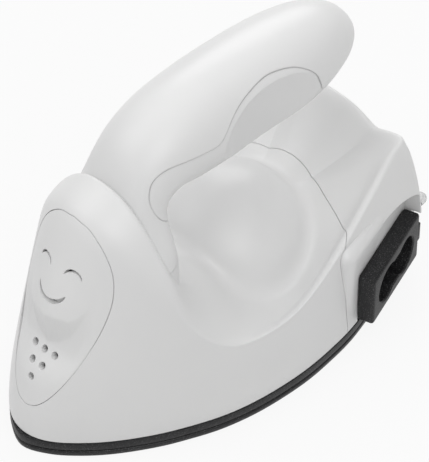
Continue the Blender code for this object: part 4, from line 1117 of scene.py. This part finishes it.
def makeInlet():
    seam = iron["seam"]
    body = boxPiece(
        "inletShell", (inlet["proud"] - seam, inlet["length"], inlet["height"]),
        padPlace(0, (inlet["proud"] + seam) / 2))
    roundEdges(body, inlet["corner"], 4)
    core = boxPiece(
        "inlet core", (inlet["proud"] + inlet["depth"] - inlet["gap"], *coreSize),
        padPlace(0, (inlet["proud"] - inlet["depth"] - inlet["gap"] * 3) / 2))
    cut(body, core, "UNION")
    rib = inlet["rib"]
    ribBox = boxPiece("latch rib", rib["size"], padPlace(
        inlet["length"] / 2, inlet["proud"] - rib["sink"], inlet["middleHeight"] + rib["rise"]))
    cut(body, roundEdges(ribBox, rib["corner"], 3), "UNION")
    outward = Vector((math.cos(inlet["turn"]), math.sin(inlet["turn"]), 0))
    outline = figureEight(0.0, inlet["proud"] - inlet["socketDepth"])
    cut(body, prismPiece("socket", outline, outward * inlet["socketDepth"] * inlet["socketRun"]))
    # chamfer round the mouth: the recess again, opened out at its far end
    chamfer, past = inlet["chamfer"], inlet["chamferPast"]
    small = figureEight(-inlet["chamferSlack"], inlet["proud"] - chamfer)
    large = figureEight(chamfer * (1 + past), inlet["proud"] + chamfer * past)
    mouth = prismPiece("mouth", small, outward * chamfer * (1 + past))
    for vertex in mouth.data.vertices:
        rim = min(large, key=lambda p: (p - vertex.co).length)
        if (rim - vertex.co).dot(outward) < iron["near"]:
            vertex.co = rim
    cut(body, mouth)
    return body


inletBody = makeInlet()
dressed(inletBody, "black_plastic", "inlet_body")
across = Matrix.Rotation(math.radians(90), 4, "Y")
for side, name in ((1, "live"), (-1, "neutral")):
    radius, edge = inlet["pinRadius"], inlet["pinEdge"]
    top = inlet["proud"] - inlet["pinSink"]
    low = top - inlet["pinLength"]
    profile = domeProfile(radius, top, radius * inlet["pinDome"], inlet["pinSteps"]) + [
        (radius, low + edge), (radius - edge, low), (0.0, low)]
    place = padPlace(side * inlet["pinPitch"] / 2, 0) @ across
    cut(inletBody, rodPiece("pin hole", radius + inlet["pinRoom"], -inlet["pinHoleReach"],
                            inlet["pinHoleReach"], place, inlet["pinSides"]))
    dressed(turnedPiece(f"{name}Pin", profile, place, inlet["pinSides"]), "steel", f"inlet_pin_{name}")
smoothShade(inletBody)
print("inlet: done")


# sole stack
sole = {
    "flange": 0.0015,
    "round": 0.0005,
    "land": 0.0030,
    "landShare": 0.67,
    "skirtLow": 0.0018,
    "skirtHigh": 0.0039,
    "skirtInnerShare": 0.70,
    "skirtRound": 0.00025,
    "clampShares": ((0.0, 0.27), (0.44, 0.62), (-0.44, 0.62)),
    "hole": 0.0015,
    "headHole": 0.0027,
    "headDepth": 0.0017,
    "landStart": 0.0006,
    "cutSpan": (-0.0100, 0.0200),  # past the sole and the skirt
    "corner": 14,  # the last station of the side; the heel's edge is straight from there
    "steps": 5,
    "inletSide": {"size": (0.010, 0.040, 0.030), "along": 0.006, "outward": 0.0017},
}


def soleOutline(share, z):
    half = [planPoint(row[0], row[1]) for row in hull["stationShares"]]
    half[0] = planPoint(0.0, 0.0)
    side = half[:sole["corner"] + 1]
    # the curve starts on the other side of the nose, so that it is round there
    right = [*flowing([*otherSide(half[1:2]), *side], sole["steps"])[sole["steps"]:], *half[len(side):]]
    whole = [*right, *otherSide(right[1:-1])]
    return [Vector((p.x * share, p.y * share, z)) for p in whole]


def soleSideCutter():
    # beside the inlet the sole's edge runs straight, along the pad
    side = sole["inletSide"]
    return boxPiece("sole side", side["size"], padPlace(
        side["along"], side["outward"] + side["size"][0] / 2, side["size"][2] / 4))


soleplate = prismPiece("solePlate", soleOutline(1.0, 0.0), (0, 0, sole["flange"]))
cut(soleplate, soleSideCutter())
roundEdges(soleplate, sole["round"], 4)
land = prismPiece("land", soleOutline(sole["landShare"], sole["landStart"]),
                  (0, 0, sole["flange"] + sole["land"] - sole["landStart"]))
cut(soleplate, land, "UNION")
low, high = sole["cutSpan"]
cut(soleplate, rodsAt("sole holes", sole["hole"], sole["flange"], high, sole["clampShares"]))
dressed(soleplate, "sole_coating", "soleplate")

skirtLow = sole["skirtLow"]
skirt = prismPiece("heatSkirt", soleOutline(1.0, skirtLow), (0, 0, sole["skirtHigh"] - skirtLow))
cut(skirt, soleSideCutter())
roundEdges(skirt, sole["skirtRound"], 3)
cut(skirt, prismPiece("skirt opening", soleOutline(sole["skirtInnerShare"], 0.0), (0, 0, -low)))
cut(skirt, rodsAt("skirt holes", sole["hole"], low, high, hull["bossShares"]))
cut(skirt, rodsAt("head rooms", sole["headHole"], low, skirtLow + sole["headDepth"], hull["bossShares"]))
dressed(skirt, "black_plastic", "heat_skirt")
removePiece(outside)
removePiece(inside)
print("sole and skirt: done")


# camera where the photograph was taken from
view = {"turn": 45.0, "height": 45.0, "focal": 3000.0, "distance": 0.60, "middle": (214.5, 231.0),
        "aim": (21.5, 446.3), "frameWidth": 429, "sensor": 36.0}
turn, height = math.radians(view["turn"]), math.radians(view["height"])
back = Vector((math.sin(turn) * math.cos(height), -math.cos(turn) * math.cos(height), math.sin(height)))
right = Vector((math.cos(turn), math.sin(turn), 0))
up = back.cross(right)
px = (view["aim"][0] - view["middle"][0]) / view["focal"]
py = (view["middle"][1] - view["aim"][1]) / view["focal"]
spot = Vector((0, -iron["length"] / 2, 0)) - view["distance"] * (-back + px * right + py * up)
bpy.ops.object.camera_add()
camera = bpy.context.active_object
camera.data.sensor_fit = "HORIZONTAL"
camera.data.sensor_width = view["sensor"]
camera.data.lens = view["focal"] * view["sensor"] / view["frameWidth"]
camera.data.clip_start = 0.01
camera.matrix_world = Matrix((
    (right.x, up.x, back.x, spot.x), (right.y, up.y, back.y, spot.y), (right.z, up.z, back.z, spot.z),
    (0, 0, 0, 1)))
bpy.context.scene.camera = camera

# a plain pale floor that the camera sees as white, with the iron's shadow on it
backdrop = {"size": 4.0, "height": -0.00005, "tone": 0.64, "roughness": 0.8, "gloss": 0.1, "glow": 0.90}
bpy.ops.mesh.primitive_grid_add(
    x_subdivisions=4, y_subdivisions=4, size=backdrop["size"], location=(0, 0, backdrop["height"]))
floor = namedPiece("floor")
paper = Finish("pale floor", backdrop, Specular_IOR_Level=backdrop["gloss"],
               Base_Color=(*[backdrop["tone"]] * 3, 1))
rays = [paper.add("LightPath", out=ray) for ray in ("Is Camera Ray", "Is Glossy Ray")]
seen = paper.maths("MAXIMUM", *rays)
blend = paper.add("MixShader", None, {
    0: seen * backdrop["glow"], 1: Wire(paper, paper.shader.outputs[0]),
    2: paper.add("Emission", None, {"Strength": 1.0})})
paper.tree.links.new(blend.socket, paper.tree.nodes["Material Output"].inputs[0])
floor.data.materials.append(paper.material)

# soft studio light: an even room, large lamps up in front and overhead, smaller ones at each side
lights = {
    "room": 0.46,
    "key": {"place": (-0.40, -0.50, 0.95), "size": 0.80, "power": 3.1},
    "top": {"place": (0.10, 0.15, 1.00), "size": 0.80, "power": 1.6},
    "side": {"place": (0.70, -0.30, 0.80), "size": 0.60, "power": 3.0},
    "behind": {"place": (-0.60, 0.70, 0.60), "size": 0.60, "power": 3.0},
}
world = bpy.data.worlds.new("room")
bpy.context.scene.world = world
world.use_nodes = True
world.node_tree.nodes["Background"].inputs["Color"].default_value = (1, 1, 1, 1)
world.node_tree.nodes["Background"].inputs["Strength"].default_value = lights["room"]
for name in ("key", "top", "side", "behind"):
    lamp = lights[name]
    bpy.ops.object.light_add(type="AREA", location=lamp["place"])
    light = bpy.context.active_object
    light.name = name
    light.data.shape = "SQUARE"
    light.data.size = lamp["size"]
    light.data.energy = lamp["power"]
    light.rotation_euler = (-Vector(lamp["place"])).to_track_quat("-Z", "Y").to_euler()
bpy.context.scene.view_settings.view_transform = "Standard"
print("camera, floor and light: done")
